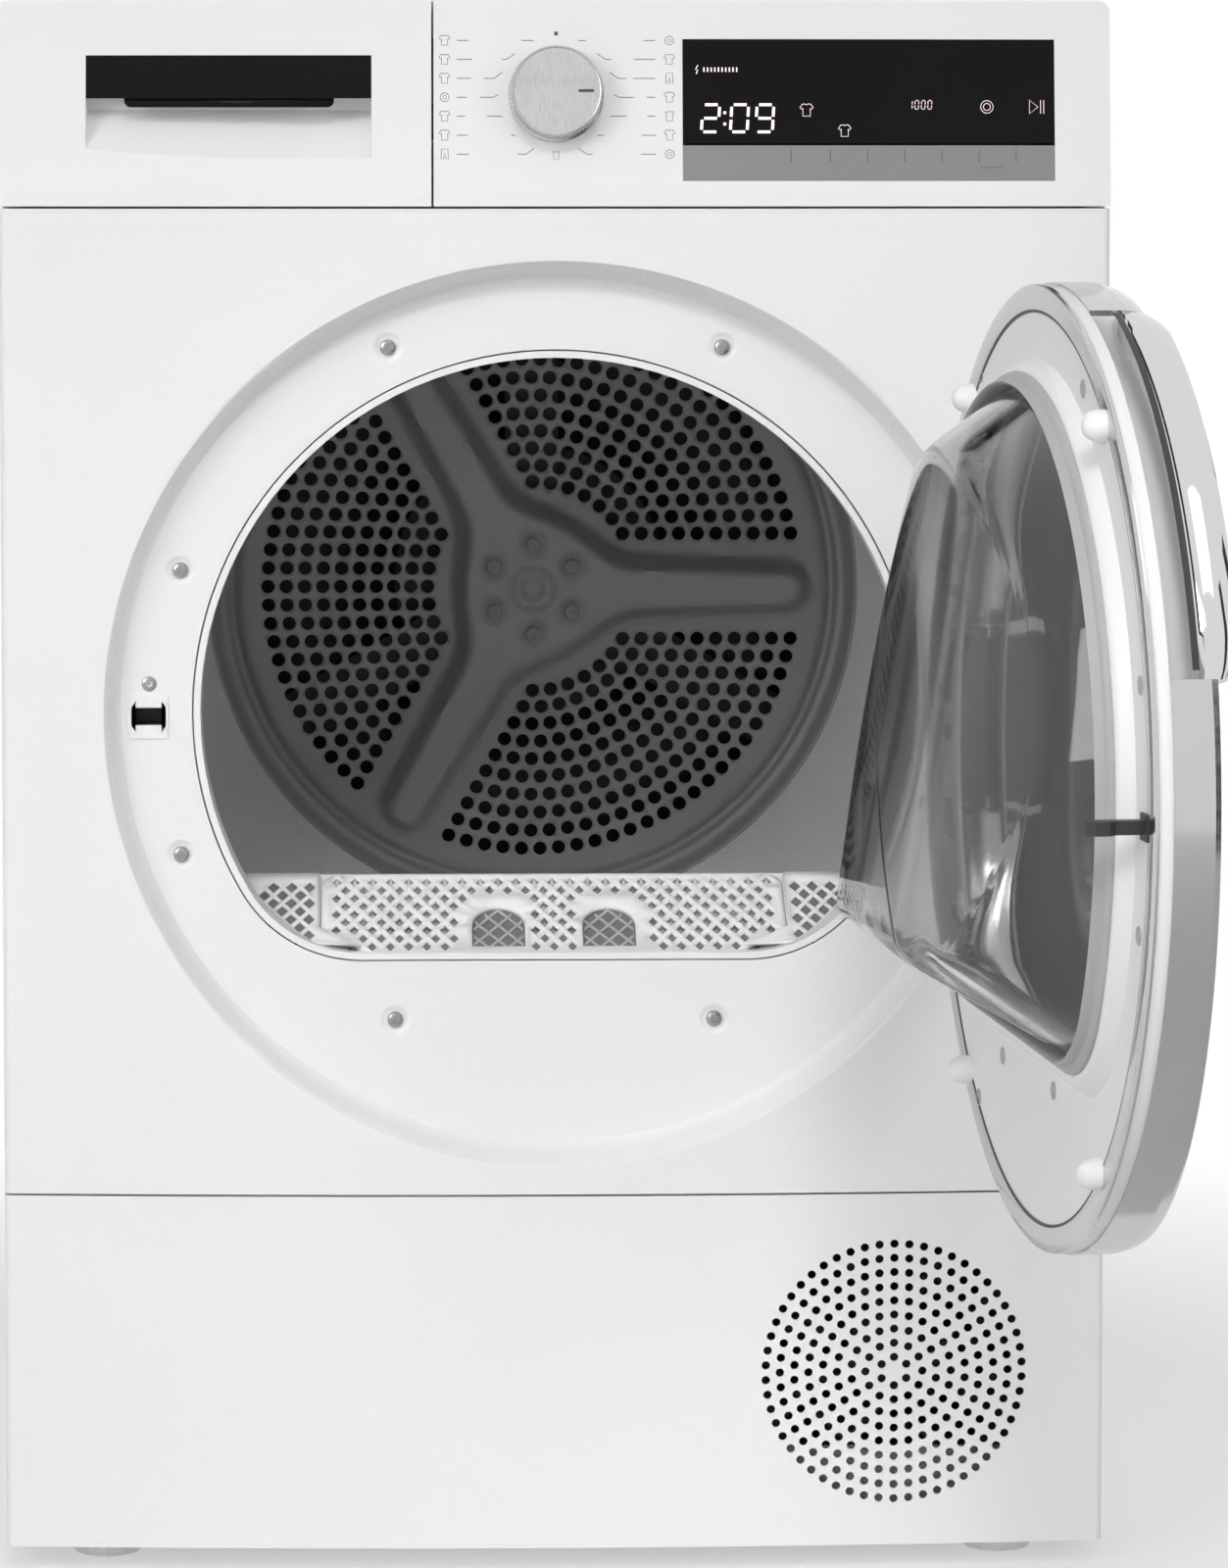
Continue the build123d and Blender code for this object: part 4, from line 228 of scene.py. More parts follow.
dress = {
    enamel: ["side_panel_left", "side_panel_right", "front_panel", "lower_front_panel"],
    white: ["worktop", "control_fascia", "drawer_front", "front_bulkhead", "door_inner_panel"],
    white_satin: ["filter_cover"],
    zinc: ["rear_panel"],
    # The bearing cover takes the darkened zinc as painted shade behind the drum wall's holes
    shade_dark_zinc: ["rear_bearing_cover"],
    hinge_steel: ["hinge_bracket", "door_hinge_leaf"],
    stud_zinc: ["roller_axles", "drum_shaft", "motor_shaft", "foot_front_left", "foot_front_right",
                "foot_rear_left", "foot_rear_right"],
    gloss_black: ["display_window"],
    label_black: ["drawer_label_strip"],
    smoke: ["door_window"],
    strip_metal: ["touch_strip"],
    brushed: ["knob_insert"],
    chrome: ["door_ring", "door_handle", "program_knob"],
    # The rear bulkhead takes the black plastic as painted shade seen through the drum wall's holes
    black: ["rear_bulkhead", "door_latch", "cable_gland", "cooling_fan", "fan_shroud", "door_hook",
            "blower_wheel"],
    grey: ["tank_guide", "base_tray", "blower_housing", "water_tank", "rear_bearing", "roller_left",
           "roller_right"],
    dark_grey: ["control_board", "air_duct_cover"],
    clear: ["door_bowl"],
    rubber: ["door_gasket", "door_buffers"],
    belt_rubber: ["drum_belt"],
    felt: ["front_drum_seal", "rear_drum_seal"],
    mesh_cloth: ["filter_mesh"],
    drum_steel: ["drum_shell", "drum_lifters"],
    wall_steel: ["drum_rear_wall"],
    cast: ["compressor"],
    winding: ["motor_body"],
    fins: ["evaporator_coil", "condenser_coil"],
    copper: ["refrigerant_pipes"],
}
for material, names in dress.items():
    for name in names:
        for place in nodes[name].material_slots:
            place.material = material

# ------------------------------------------------------------------ making pieces
def smooth_min(a, b, blend):
    """The lesser of two values, rounded where they meet."""
    overlap = max(blend - abs(a - b), 0) / blend
    return min(a, b) - overlap * overlap * blend / 4


def ease(value, low, high):
    """A soft step from 0 at the low value to 1 at the high one."""
    share = min(max((value - low) / (high - low), 0), 1)
    return share * share * (3 - 2 * share)


def add_mesh(name, shape, material):
    """Turn a bmesh into an object with one material."""
    mesh = bpy.data.meshes.new(name)
    shape.to_mesh(mesh)
    shape.free()
    mesh.materials.append(material)
    thing = bpy.data.objects.new(name, mesh)
    bpy.context.collection.objects.link(thing)
    return thing


both_ends = (0, -1)
behind = -1


def piece(name, shape, material, body, stands_for=(), crease=32, facing=None, thickness=0):
    """A dressed piece on a body. An open sheet says where it faces; its thickness lies behind."""
    bmesh.ops.recalc_face_normals(shape, faces=shape.faces)
    for face in shape.faces if facing else ():
        if face.normal.dot(facing) < 0:
            face.normal_flip()
    thing = add_mesh(name, shape, material)
    thing.data.shade_smooth()
    thing.data.set_sharp_from_angle(angle=math.radians(crease))
    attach(thing, body)
    if stands_for:
        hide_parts(*stands_for)
    if thickness:
        solidify = thing.modifiers.new("thickness", "SOLIDIFY")
        solidify.thickness = thickness
        solidify.offset = behind


def skin(rows, closed=True, wrap=False, caps=(), shape=None):
    """Join rows of points; closed rows run round, wrap joins the last row to the first, caps fill rows."""
    shape = shape or bmesh.new()
    made = [[shape.verts.new(point) for point in row] for row in rows]
    for near, far in zip(made, made[1:] + (made[:1] if wrap else [])):
        count = len(near)
        for i in range(count if closed else count - 1):
            j = (i + 1) % count
            shape.faces.new((near[i], near[j], far[j], far[i]))
    for end in caps:
        shape.faces.new(made[end])
    return shape


def around(place, radius, turn, height):
    """A point at a radius, turn and height in a placed frame."""
    return place @ Vector((radius * math.cos(turn), radius * math.sin(turn), height))


def turned(shape, profile, place, steps=48):
    """Turn a profile of (radius, height) about the Z axis of a placed frame, closed at its ends."""
    turns = [math.tau * i / steps for i in range(steps)]
    rows = [[around(place, radius, turn, height) for turn in turns] for radius, height in profile]
    skin(rows, caps=both_ends, shape=shape)


def sheet_of(loops, inner, keep, place):
    """Fill flat loops and inner points with triangles, keep those on the sheet, and place them."""
    flat = []
    edges = []
    for loop in loops:
        start = len(flat)
        flat += loop
        edges += [(start + i, start + (i + 1) % len(loop)) for i in range(len(loop))]
    inside_edges, tolerance = 1, 1e-7
    points, _, faces = delaunay_2d_cdt(flat + inner, edges, [], inside_edges, tolerance)[:3]
    shape = bmesh.new()
    verts = [shape.verts.new(place(*point)) for point in points]
    for face in faces:
        middle = sum((points[i] for i in face), Vector((0, 0))) / len(face)
        if keep(middle.x, middle.y):
            shape.faces.new([verts[i] for i in face])
    loose = [vert for vert in shape.verts if not vert.link_faces]
    bmesh.ops.delete(shape, geom=loose, context="VERTS")
    return shape


def hex_points(low_x, high_x, low_z, high_z, pitch):
    """Points in staggered rows over a rectangle."""
    points = []
    row_pitch = pitch * 0.866
    for row in range(int((high_z - low_z) / row_pitch) + 1):
        shift = pitch / 2 * (row % 2)
        count = int((high_x - low_x - shift) / pitch) + 1
        points += [(low_x + shift + pitch * i, low_z + row_pitch * row) for i in range(count)]
    return points


def circle(x, z, radius, steps):
    """A loop of points on a circle."""
    turns = [math.tau * i / steps for i in range(steps)]
    return [(x + radius * math.cos(a), z + radius * math.sin(a)) for a in turns]


def finder(points):
    """A search tree over flat points."""
    tree = KDTree(len(points))
    for index, (x, z) in enumerate(points):
        tree.insert((x, z, 0), index)
    tree.balance()
    return tree


def clear_of(tree, x, z, distance):
    """Whether a place is further than a distance from every point of a tree."""
    return tree.find((x, z, 0))[2] > distance


def d_outline(radius, flat, corner, steps=120):
    """A circle cut flat below its middle with rounded corners, anticlockwise."""
    lift = corner - flat
    aside = math.sqrt((radius - corner) ** 2 - lift**2)
    start = math.atan2(lift, aside)
    over = [start + (math.pi - 2 * start) * i / steps for i in range(steps)]
    points = [(radius * math.cos(a), radius * math.sin(a)) for a in over]
    turns = steps // 5
    for side, begin in ((-1, math.pi - start), (1, 1.5 * math.pi)):
        sweep = math.pi / 2 + start
        for i in range(turns + 1):
            a = begin + sweep * i / turns
            points.append((side * aside + corner * math.cos(a), lift + corner * math.sin(a)))
    return points[:-1]


def inside_d(u, v, radius, flat, corner):
    """Whether a place is inside such an outline."""
    lift = corner - flat
    aside = math.sqrt((radius - corner) ** 2 - lift**2)
    in_corner = v < lift and abs(u) > aside and v * aside < lift * abs(u)
    if in_corner:
        return math.hypot(abs(u) - aside, v - lift) < corner
    return math.hypot(u, v) < radius and v > -flat


# ------------------------------------------------------------------ drum
star_height = 25 * mm
wall_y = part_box("drum_rear_wall")[0].y + star_height
star_hub = 50 * mm
star_root = 44 * mm
star_tip = 34 * mm
star_tip_centre = 160 * mm
hole_radius = 4.3 * mm
hole_pitch = 11.8 * mm
wall_radius = 207.3 * mm
hub_screws = [Vector((28.5 * mm, 0)) @ Matrix.Rotation(math.radians(a), 2) for a in range(30, 390, 60)]
wall_thickness = 1.2 * mm


def star_distance(x, z):
    """Distance to the foot of the pressed star, negative on the star."""
    gap = math.hypot(x, z) - star_hub
    for arm in range(3):
        turn = math.tau * arm / 3
        along = x * math.cos(turn) + z * math.sin(turn)
        across = abs(z * math.cos(turn) - x * math.sin(turn))
        share = min(max(along / star_tip_centre, 0), 1)
        half = (star_root + (star_tip - star_root) * share) / 2
        beyond = max(along - star_tip_centre, -along, 0)
        gap = smooth_min(gap, math.hypot(beyond, across) - half, 26 * mm)
    return gap


def wall_relief(x, z):
    """How far the pressed rear wall stands out towards the door."""
    radius = math.hypot(x, z)
    height = star_height * ease(-star_distance(x, z), -1.5 * mm, 8.5 * mm)
    # The hub's round dimple, with its middle raised again
    height -= 1.8 * mm * (1 - ease(radius, 12 * mm, 15 * mm))
    height += 1.8 * mm * (1 - ease(radius, 5 * mm, 8 * mm))
    # A groove outside the holes, and the edge that turns up to the shell
    height -= 4 * mm * (ease(radius, 186 * mm, 191 * mm) - ease(radius, 192 * mm, 197 * mm))
    height += 8 * mm * ease(radius, 198 * mm, wall_radius + 1 * mm)
    for spot in hub_screws:
        height -= 1.6 * mm * (1 - ease(math.hypot(x - spot.x, z - spot.y), 6.5 * mm, 9 * mm))
    return height


def air_holes():
    """Rows of holes that run beside two arms and bend round between them."""
    beside = 33.7 * mm
    first_row, row_pitch = 57.9 * mm, 11.95 * mm
    spots = []
    for row in range(10):
        along = first_row + row_pitch * row
        radius = math.hypot(along, beside)
        edge = math.asin(beside / radius)
        sweep = math.tau / 3 - 2 * edge
        count = round(sweep * radius / hole_pitch)
        for sector in range(3):
            for i in range(count + 1):
                turn = math.tau * sector / 3 + edge + sweep * i / count
                spots.append((radius * math.cos(turn), radius * math.sin(turn)))
    return spots


def drum_wall():
    """The perforated rear wall with its pressed star, rings and hub."""
    holes = air_holes()
    tree = finder(holes)
    loops = [circle(0, 0, wall_radius, 200)] + [circle(x, z, hole_radius, 14) for x, z in holes]
    reach = 186 * mm
    grid = hex_points(-reach, reach, -reach, reach, 3 * mm)
    inner = [p for p in grid if math.hypot(*p) < reach and clear_of(tree, *p, hole_radius + 1 * mm)]
    for radius in (187.5, 189, 190.5, 192, 193.5, 195, 196.5, 198, 200, 202, 204, 205.5):
        inner += circle(0, 0, radius * mm, 200)
    shape = sheet_of(
        loops,
        inner,
        lambda x, z: clear_of(tree, x, z, hole_radius * 0.97),
        lambda x, z: Vector((drum_axis.x + x, wall_y - wall_relief(x, z), drum_axis.z + z)),
    )
    piece("drum_wall", shape, wall_steel, "drum", ("drum_rear_wall",), 60, towards_front,
          wall_thickness)


def facing_front(x, y, z):
    """A frame at a point whose Z axis points to the front."""
    return Matrix.Translation((x, y, z)) @ Matrix.Rotation(math.pi / 2, 4, "X")


def screw(shape, place, radius, height):
    """A domed screw head with a socket in its middle."""
    profile = [(1, 0), (1, 0.35), (0.86, 0.8), (0.6, 1), (0.44, 1), (0.4, 0.3), (0.14, 0.3), (0.1, 0.75)]
    turned(shape, [(radius * r, height * h) for r, h in profile], place, 24)


def drum_screws():
    """Six screws that hold the hub to the shaft."""
    shape = bmesh.new()
    for spot in hub_screws:
        y = wall_y - star_height + 1.4 * mm
        screw(shape, facing_front(drum_axis.x + spot.x, y, drum_axis.z + spot.y), 4.9 * mm, 2.6 * mm)
    piece("hub_screws", shape, wall_steel, "drum")


def hole_shade_sheet():
    """A dark sheet on the inside of the rear panel, painted shade seen through the drum wall's holes."""
    outside, core = 260 * mm, 60 * mm
    shape = sheet_of(
        [circle(0, 0, outside, 96), circle(0, 0, core, 48)],
        [],
        lambda x, z: math.hypot(x, z) > core,
        lambda x, z: Vector((drum_axis.x + x, rear_high.y - 4 * mm, drum_axis.z + z)),
    )
    piece("hole_shade_sheet", shape, black, "cabinet", (), 30, towards_front, 1.2 * mm)


drum_wall()
drum_screws()
hole_shade_sheet()

# ------------------------------------------------------------------ front panels
panel_low, panel_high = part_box("front_panel")
lower_low, lower_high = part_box("lower_front_panel")
frame_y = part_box("side_panel_left")[0].y
door_z = hinge.z
dish_radius = 242.5 * mm
dish_floor_radius = 236.7 * mm
dish_depth = 24 * mm
opening = (196 * mm, 135.5 * mm, 75 * mm)
edge_round = 4 * mm
sheet_thickness = 1.2 * mm
latch_middle = Vector((-219.3 * mm, -2 * mm))
latch_size = Vector((22 * mm, 24.6 * mm))
square = ((-1, -1), (1, -1), (1, 1), (-1, 1))
dish_screws = [
    (x * mm, z * mm)
    for x, z in ((-90, 197), (90, 197), (-86.5, -167.5), (86.5, -167.5), (-202, 77), (-202, -77),
                 (-219, 15.6))
]


def front_depth(x):
    """Depth of the bowed front, with its side edges rounded."""
    over = max(abs(x) - (half_width - edge_round), 0)
    return bow(x) + edge_round - math.sqrt(max(edge_round**2 - over**2, 0))


def dish_relief(x, z):
    """Depth of the front with the round recess for the door and its screw seats."""
    slope = dish_depth / (dish_radius - dish_floor_radius)
    down = smooth_min((dish_radius - math.hypot(x, z)) * slope, dish_depth, 12 * mm)
    depth = -smooth_min(-down, -front_depth(x), 9 * mm)
    for screw_x, screw_z in dish_screws:
        depth += 1.3 * mm * (1 - ease(math.hypot(x - screw_x, z - screw_z), 5.5 * mm, 8.5 * mm))
    return depth


def folded_verts(shape, edges):
    """Fold some edges back as new faces, and give the new corners."""
    made = bmesh.ops.extrude_edge_only(shape, edges=edges)["geom"]
    return [item for item in made if isinstance(item, bmesh.types.BMVert)]


def front_sheet(name, low_z, high_z, middle_z, loops, inner, keep, depth, stands_for):
    """A bowed enamelled front with rounded side edges and borders folded back."""
    bend = half_width - edge_round
    turn = [bend + edge_round * math.sin(math.radians(a)) for a in (0, 22, 42, 60, 75, 90)]
    columns = [-x for x in reversed(turn)] + [bend * i / 24 for i in range(-23, 24)] + turn
    low, high = low_z - middle_z, high_z - middle_z
    rim = [(x, low) for x in columns] + [(x, high) for x in reversed(columns)]
    rows = [low + (high - low) * i / 24 for i in range(1, 24)]
    grid = [(x, z) for x in columns[1:-1] for z in rows if keep(x, z)]
    if inner:
        near = finder(inner)
        grid = [(x, z) for x, z in grid if clear_of(near, x, z, 6 * mm)]

    def placed(x, z):
        return Vector((x, front_y + depth(x, z), middle_z + z))

    shape = sheet_of([rim] + loops, grid + inner, keep, placed)

    def on_border(vert):
        return abs(vert.co.x) > half_width - 1e-5 or min(vert.co.z - low_z, high_z - vert.co.z) < 1e-5

    for face in shape.faces:
        if face.normal.y > 0:
            face.normal_flip()
    edges = [edge for edge in shape.edges if edge.is_boundary]
    outer = [edge for edge in edges if all(on_border(vert) for vert in edge.verts)]
    cut = [edge for edge in edges if edge not in outer]
    for vert in folded_verts(shape, outer):
        vert.co.y = frame_y
    for vert in folded_verts(shape, cut):
        vert.co.y += sheet_thickness
    piece(name, shape, enamel, "cabinet", stands_for, 35)


def dished_front():
    """The front panel with its dish, loading opening and latch cut-out."""
    half = latch_size / 2
    latch = [(latch_middle.x + half.x * a, latch_middle.y + half.y * b) for a, b in square]
    inner = []
    # Close rings of points where the dish's wall bends, and round each screw's seat
    for i in range(18):
        inner += circle(0, 0, (230 + 1.4 * i) * mm, 220)
    for x, z in dish_screws[:-1]:
        for radius in (5, 6, 7, 8, 9):
            inner += circle(x, z, radius * mm, 18)
    low, high = panel_low.z - door_z, panel_high.z - door_z
    inner = [(x, z) for x, z in inner if low + 1 * mm < z < high - 1 * mm]

    def keep(x, z):
        in_latch = abs(x - latch_middle.x) < half.x and abs(z - latch_middle.y) < half.y
        return not in_latch and not inside_d(x, z, *opening)

    front_sheet("dished_front", panel_low.z, panel_high.z, door_z, [d_outline(*opening), latch], inner, keep,
                dish_relief, ("front_panel",))


def vented_front():
    """The lower front with nine rings of round holes before the cooling fan."""
    grille_x, grille_z = half_width - 114.3 * mm, 110 * mm
    ring_pitch, hole = 7.75 * mm, 2.35 * mm
    holes = []
    for ring in range(1, 10):
        radius = ring_pitch * ring
        turns = [math.tau * i / (6 * ring) for i in range(6 * ring)]
        holes += [(grille_x + radius * math.sin(a), radius * math.cos(a)) for a in turns]
    tree = finder(holes)
    loops = [circle(x, z, hole, 12) for x, z in holes]
    front_sheet("vented_front", lower_low.z, lower_high.z, grille_z, loops, [],
                lambda x, z: clear_of(tree, x, z, hole * 0.96), lambda x, z: front_depth(x),
                ("lower_front_panel",))


def panel_screws():
    """Screws in the dish and above the latch."""
    shape = bmesh.new()
    for x, z in dish_screws:
        screw(shape, facing_front(x, front_y + dish_depth + sheet_thickness, door_z + z), 4.3 * mm, 2.6 * mm)
    piece("panel_screws", shape, screw_steel, "cabinet")


dished_front()
vented_front()
panel_screws()

# ------------------------------------------------------------------ lint filter
ramp_front = Vector((front_y + 27.4 * mm, door_z - 131 * mm))
ramp_rear = Vector((front_y + 85 * mm, door_z - 97 * mm))
ramp_length = (ramp_rear - ramp_front).length
cover_half = 127 * mm
side_half = 170 * mm
lattice_pitch = 9.9 * mm
diamond = Vector((3.5 * mm, 4.9 * mm))
up_from_ramp = Vector((0, -0.5, 0.85))


def on_ramp(x, s, lift=0.0):
    """A point on or above the filter's sloping top, at a distance from its front edge."""
    y, z = ramp_front.lerp(ramp_rear, s / ramp_length)
    along = (ramp_rear - ramp_front) / ramp_length
    return Vector((x, y - along.y * lift, z + along.x * lift))


def diamonds(keep):
    """Centres of the staggered diamond openings that fit."""
    spots = []
    first_row, row_pitch = 5.6, 6.95
    for row in range(9):
        s = (first_row + row_pitch * row) * mm
        spots += [((i + row % 2 / 2) * lattice_pitch, s) for i in range(-18, 19)]
    return [spot for spot in spots if keep(*spot)]


def lattice_plate(name, outline, keep, body, stands_for=(), windows=(), lift=0.0, thickness=4.2 * mm):
    """A moulded plate with deep ribs between diamond openings."""
    spots = diamonds(keep)
    wide, tall = diamond
    loops = [[(x - wide, s), (x, s - tall), (x + wide, s), (x, s + tall)] for x, s in spots]
    tree = finder(spots)

    def solid(x, s):
        near = tree.find((x, s, 0))[0]
        in_diamond = abs(x - near.x) / wide + abs(s - near.y) / tall < 0.999
        return not in_diamond and not any(in_window(x, s, window) for window in windows)

    holes = loops + [window_outline(w) for w in windows]
    shape = sheet_of([outline] + holes, [], solid, lambda x, s: on_ramp(x, s, lift))
    piece(name, shape, white_satin, body, stands_for, 30, up_from_ramp, thickness)


window_size = Vector((14.5 * mm, 35 * mm))
window_start = 4.5 * mm
arch_height = 15 * mm
arch_foot = window_start + window_size.y - arch_height
finger_windows = (-30.2 * mm, 30.2 * mm)


def window_outline(middle):
    """An arch over a finger window."""
    turns = [math.pi * i / 14 for i in range(15)]
    arch = [(middle + window_size.x * math.cos(a), arch_foot + arch_height * math.sin(a)) for a in turns]
    return arch + [(middle - window_size.x, window_start), (middle + window_size.x, window_start)]


def in_window(x, s, middle, border=0.0):
    """Whether a place is in a finger window or its border."""
    across = abs(x - middle) / (window_size.x + border)
    up = max(s - arch_foot, 0) / (arch_height + border)
    return across**2 + up**2 < 1 and s > window_start - border


def filter_pieces():
    """The lift-out cover with its finger windows and the fixed grilles beside it."""
    corner, taper, border = 10 * mm, 28 * mm, 6 * mm
    half = [(cover_half - taper, 0.0), (cover_half, 20 * mm)]
    for turn in [math.pi / 2 * i / 6 for i in range(7)]:
        x = cover_half - corner + corner * math.cos(turn)
        half.append((x, ramp_length - corner + corner * math.sin(turn)))
    outline = half + [(-x, s) for x, s in reversed(half)]

    def fits_cover(x, s):
        edge = min(cover_half, cover_half - taper + 1.4 * s) - abs(x)
        beside = not any(in_window(x, s - up, w, 5.5 * mm) for w in finger_windows for up in (0, border))
        return edge > border and beside

    lattice_plate("filter_lattice", outline, fits_cover, "lint_filter", ("filter_cover",), finger_windows)

    side_start = cover_half + 3 * mm
    gap = 1.2 * mm

    def side_limit(s):
        return side_start + (side_half - side_start) * math.sqrt(max(1 - (1 - s / ramp_length) ** 2, 0))

    half = [(side_limit(ramp_length * i / 10), ramp_length * i / 10) for i in range(1, 11)]
    half += [(cover_half + gap, ramp_length), (cover_half + gap, 20 * mm), (cover_half - 22 * mm, 4 * mm)]
    for name, side in (("left", -1), ("right", 1)):
        outline = [(side * x, s) for x, s in half]
        lattice_plate(
            f"side_grille_{name}",
            outline,
            lambda x, s: cover_half + 6 * mm < side * x < side_limit(s) - 7 * mm and s < 58 * mm,
            "cabinet",
            lift=1.6 * mm,
            thickness=1.2 * mm,
        )
        bed = sheet_of([outline], [], lambda x, s: True, lambda x, s: on_ramp(x, s, 0.3 * mm))
        piece(f"side_bed_{name}", bed, mesh_cloth, "cabinet", (), 30, up_from_ramp)


def window_bars():
    """Crossed bars under the finger windows, on a bed of fabric."""
    bed_lift, bar_lift = -3.6 * mm, -2.6 * mm
    bed = sheet_of(
        [window_outline(w) for w in finger_windows],
        [],
        lambda x, s: any(in_window(x, s, w) for w in finger_windows),
        lambda x, s: on_ramp(x, s, bed_lift),
    )
    piece("window_beds", bed, mesh_cloth, "lint_filter", (), 30, up_from_ramp)
    shape = bmesh.new()
    step = 1.5 * mm
    half = 1.2 * mm
    bar_pitch = 13 * mm
    for middle, slope, row in product(finger_windows, (-1.25, 1.25), range(-4, 8)):
        for i in range(30):
            x = middle + (i - 15) * step
            s = row * bar_pitch + slope * (x - middle)
            far = s + slope * step
            if in_window(x, s, middle) and in_window(x + step, far, middle):
                corners = ((x, s - half), (x + step, far - half), (x + step, far + half), (x, s + half))
                shape.faces.new([shape.verts.new(on_ramp(*corner, bar_lift)) for corner in corners])
    bmesh.ops.remove_doubles(shape, verts=shape.verts, dist=0.01 * mm)
    piece("window_bars", shape, grey, "lint_filter", (), 30, up_from_ramp, 0.8 * mm)


filter_pieces()
window_bars()

# ------------------------------------------------------------------ door
# The door's own frame: X across it to its hinge, Y up, Z out of its outer face.
closed_y = front_y + 12 * mm
door_place = (
    Matrix.Translation(hinge)
    @ Matrix.Rotation(door_open, 4, "Z")
    @ Matrix.Translation((-hinge.x, closed_y - hinge.y, 0))
    @ Matrix.Rotation(math.pi / 2, 4, "X")
)
into_drum = door_place.to_3x3() @ Vector((0, 0, -1))
bowl_rim = (187 * mm, 125 * mm, 68 * mm)
gasket_seat = (187.6 * mm, 125.6 * mm, 68 * mm)
window_radius = 196.6 * mm


def door_window():
    """The smoked window, a shallow dome in the door's ring."""
    shape = bmesh.new()
    shares = [i / 12 for i in range(1, 13)]
    back = [(window_radius * s, (28 + 10 * (1 - s * s)) * mm) for s in shares]
    turned(shape, back + [(r, h + 3 * mm) for r, h in reversed(back)], door_place, 96)
    piece("smoked_window", shape, smoke, "door", ("door_window",))


def bowl_reach(u, v, edge):
    """How far the clear bowl stands into the drum: a leaning dome, cut by a steep wall up from its rim."""
    lens = 83 * mm - 0.155 * v - 0.3 * v * v - 1.63 * u * u
    return smooth_min(lens, 8 * mm + 1.45 * edge, 9 * mm)


def clear_bowl():
    """The clear moulded bowl: a tilted dome whose walls rise steeply from its rim."""
    rim = d_outline(*bowl_rim, 100)
    tree = finder(d_outline(*bowl_rim, 600))
    middle = Vector((0, 25 * mm))
    rows = [
        [door_place @ Vector((u * s, v * s, w * mm)) for u, v in rim]
        for s, w in ((1.035, 1.4), (1.012, 1.2), (1.004, 0.2), (1.0, -3.0))
    ]
    steps = 44
    for i in range(steps):
        share = 1 - i / steps
        share += 0.18 * math.sin(math.pi * share) * share
        row = []
        for point in rim:
            u, v = middle.lerp(Vector(point), min(share, 1))
            edge = tree.find((u, v, 0))[2]
            row.append(door_place @ Vector((u, v, -bowl_reach(u, v, edge))))
        rows.append(row)
    shape = skin(rows, caps=(-1,))
    piece("clear_bowl", shape, clear, "door", ("door_bowl",), 60, into_drum, 3.2 * mm)


def d_ring(name, outline, profile, material, stands_for=()):
    """A moulded ring from the bowl's seat to an outline, with a profile of (share of the width, height)."""
    rows = []
    for start, end in zip(d_outline(*gasket_seat), d_outline(*outline)):
        across = [Vector(start).lerp(Vector(end), share) for share, _ in profile]
        rows.append([door_place @ Vector((p.x, p.y, h * mm)) for p, (_, h) in zip(across, profile)])
    piece(name, skin(rows, wrap=True), material, "door", stands_for, 45)


def gasket_and_shoulder():
    """The rounded rubber seal round the bowl, and the moulded shoulder of the inner panel under it."""
    lip = ((0, -2), (0, -12), (0.05, -14.6), (0.16, -16.2), (0.28, -16.5), (0.37, -15.6), (0.4, -13),
           (0.46, -11.8), (0.75, -11), (0.94, -9.8), (1, -8.5), (0.94, -7.5), (0.9, -6))
    outline = (194.6 * mm, 133.5 * mm, 74 * mm)
    d_ring("soft_gasket", outline, lip, rubber, ("door_gasket",))
    step = ((0, 1), (0, -7.6), (0.55, -8), (0.66, -7.4), (0.78, -5), (0.88, -2), (1, -0.2), (1, 0.4))
    d_ring("gasket_shoulder", (200.5 * mm, 144 * mm, 75 * mm), step, white)


def arc_band(name, material, profile, start, step, count, caps=()):
    """A profile of (radius, height) carried round a part of the ring, from and by an angle in degrees."""
    turns = [math.radians(start + step * i) for i in range(count)]
    rows = [[around(door_place, r * mm, turn, h * mm) for r, h in profile] for turn in turns]
    piece(name, skin(rows, caps=caps), material, "door", (), 40)


def rim_bead():
    """The chromed edge round the inner panel, and a black band in the seam inside it that paints the seam's
    shade, both broken at the hinge.
    """
    seam_shade_profile = ((223.2, 0.3), (223.2, -0.35), (224.6, -0.35), (224.6, 0.3))
    arc_band("rim_seam_shade", black, seam_shade_profile, 16, 2, 165, both_ends)
    bead = ((224.6, 0.3), (224.8, -0.6), (227, -0.9), (233, -0.9), (235.8, -0.6), (237.1, 0.3),
            (237.25, 1.5))
    arc_band("rim_bead", chrome, bead, 16, 2, 165, both_ends)


def at_door(u, v):
    """A frame on the door's inner face whose Z axis points to the drum."""
    return door_place @ Matrix.Translation((u * mm, v * mm, 0)) @ Matrix.Rotation(math.pi, 4, "X")


def door_studs():
    """Four domed buffers and the recessed screws of the inner panel."""
    shape = bmesh.new()
    dome = ((7.5, 0), (7.5, 3.5), (7.2, 6), (6.3, 8.4), (4.8, 10.2), (2.6, 11.3), (0.4, 11.7))
    for u in (-140, 140):
        for v in (-175, 175):
            turned(shape, [(r * mm, h * mm) for r, h in dome], at_door(u, v), 28)
    piece("domed_buffers", shape, white_satin, "door", ("door_buffers",))
    shape = bmesh.new()
    socket = ((4.6, 0), (4.5, 0.35), (4.1, 0.5), (3.6, 0.4), (3.3, 0.06), (0.3, 0.06))
    spots = ((-95, 190), (-103, -184), (124, 188), (120, -186), (-207, 61), (-207, -53), (66, -155),
             (-44, -153))
    for u, v in spots:
        turned(shape, [(r * mm, h * mm) for r, h in socket], at_door(u, v), 22)
    piece("inner_panel_screws", shape, pale_grey, "door")


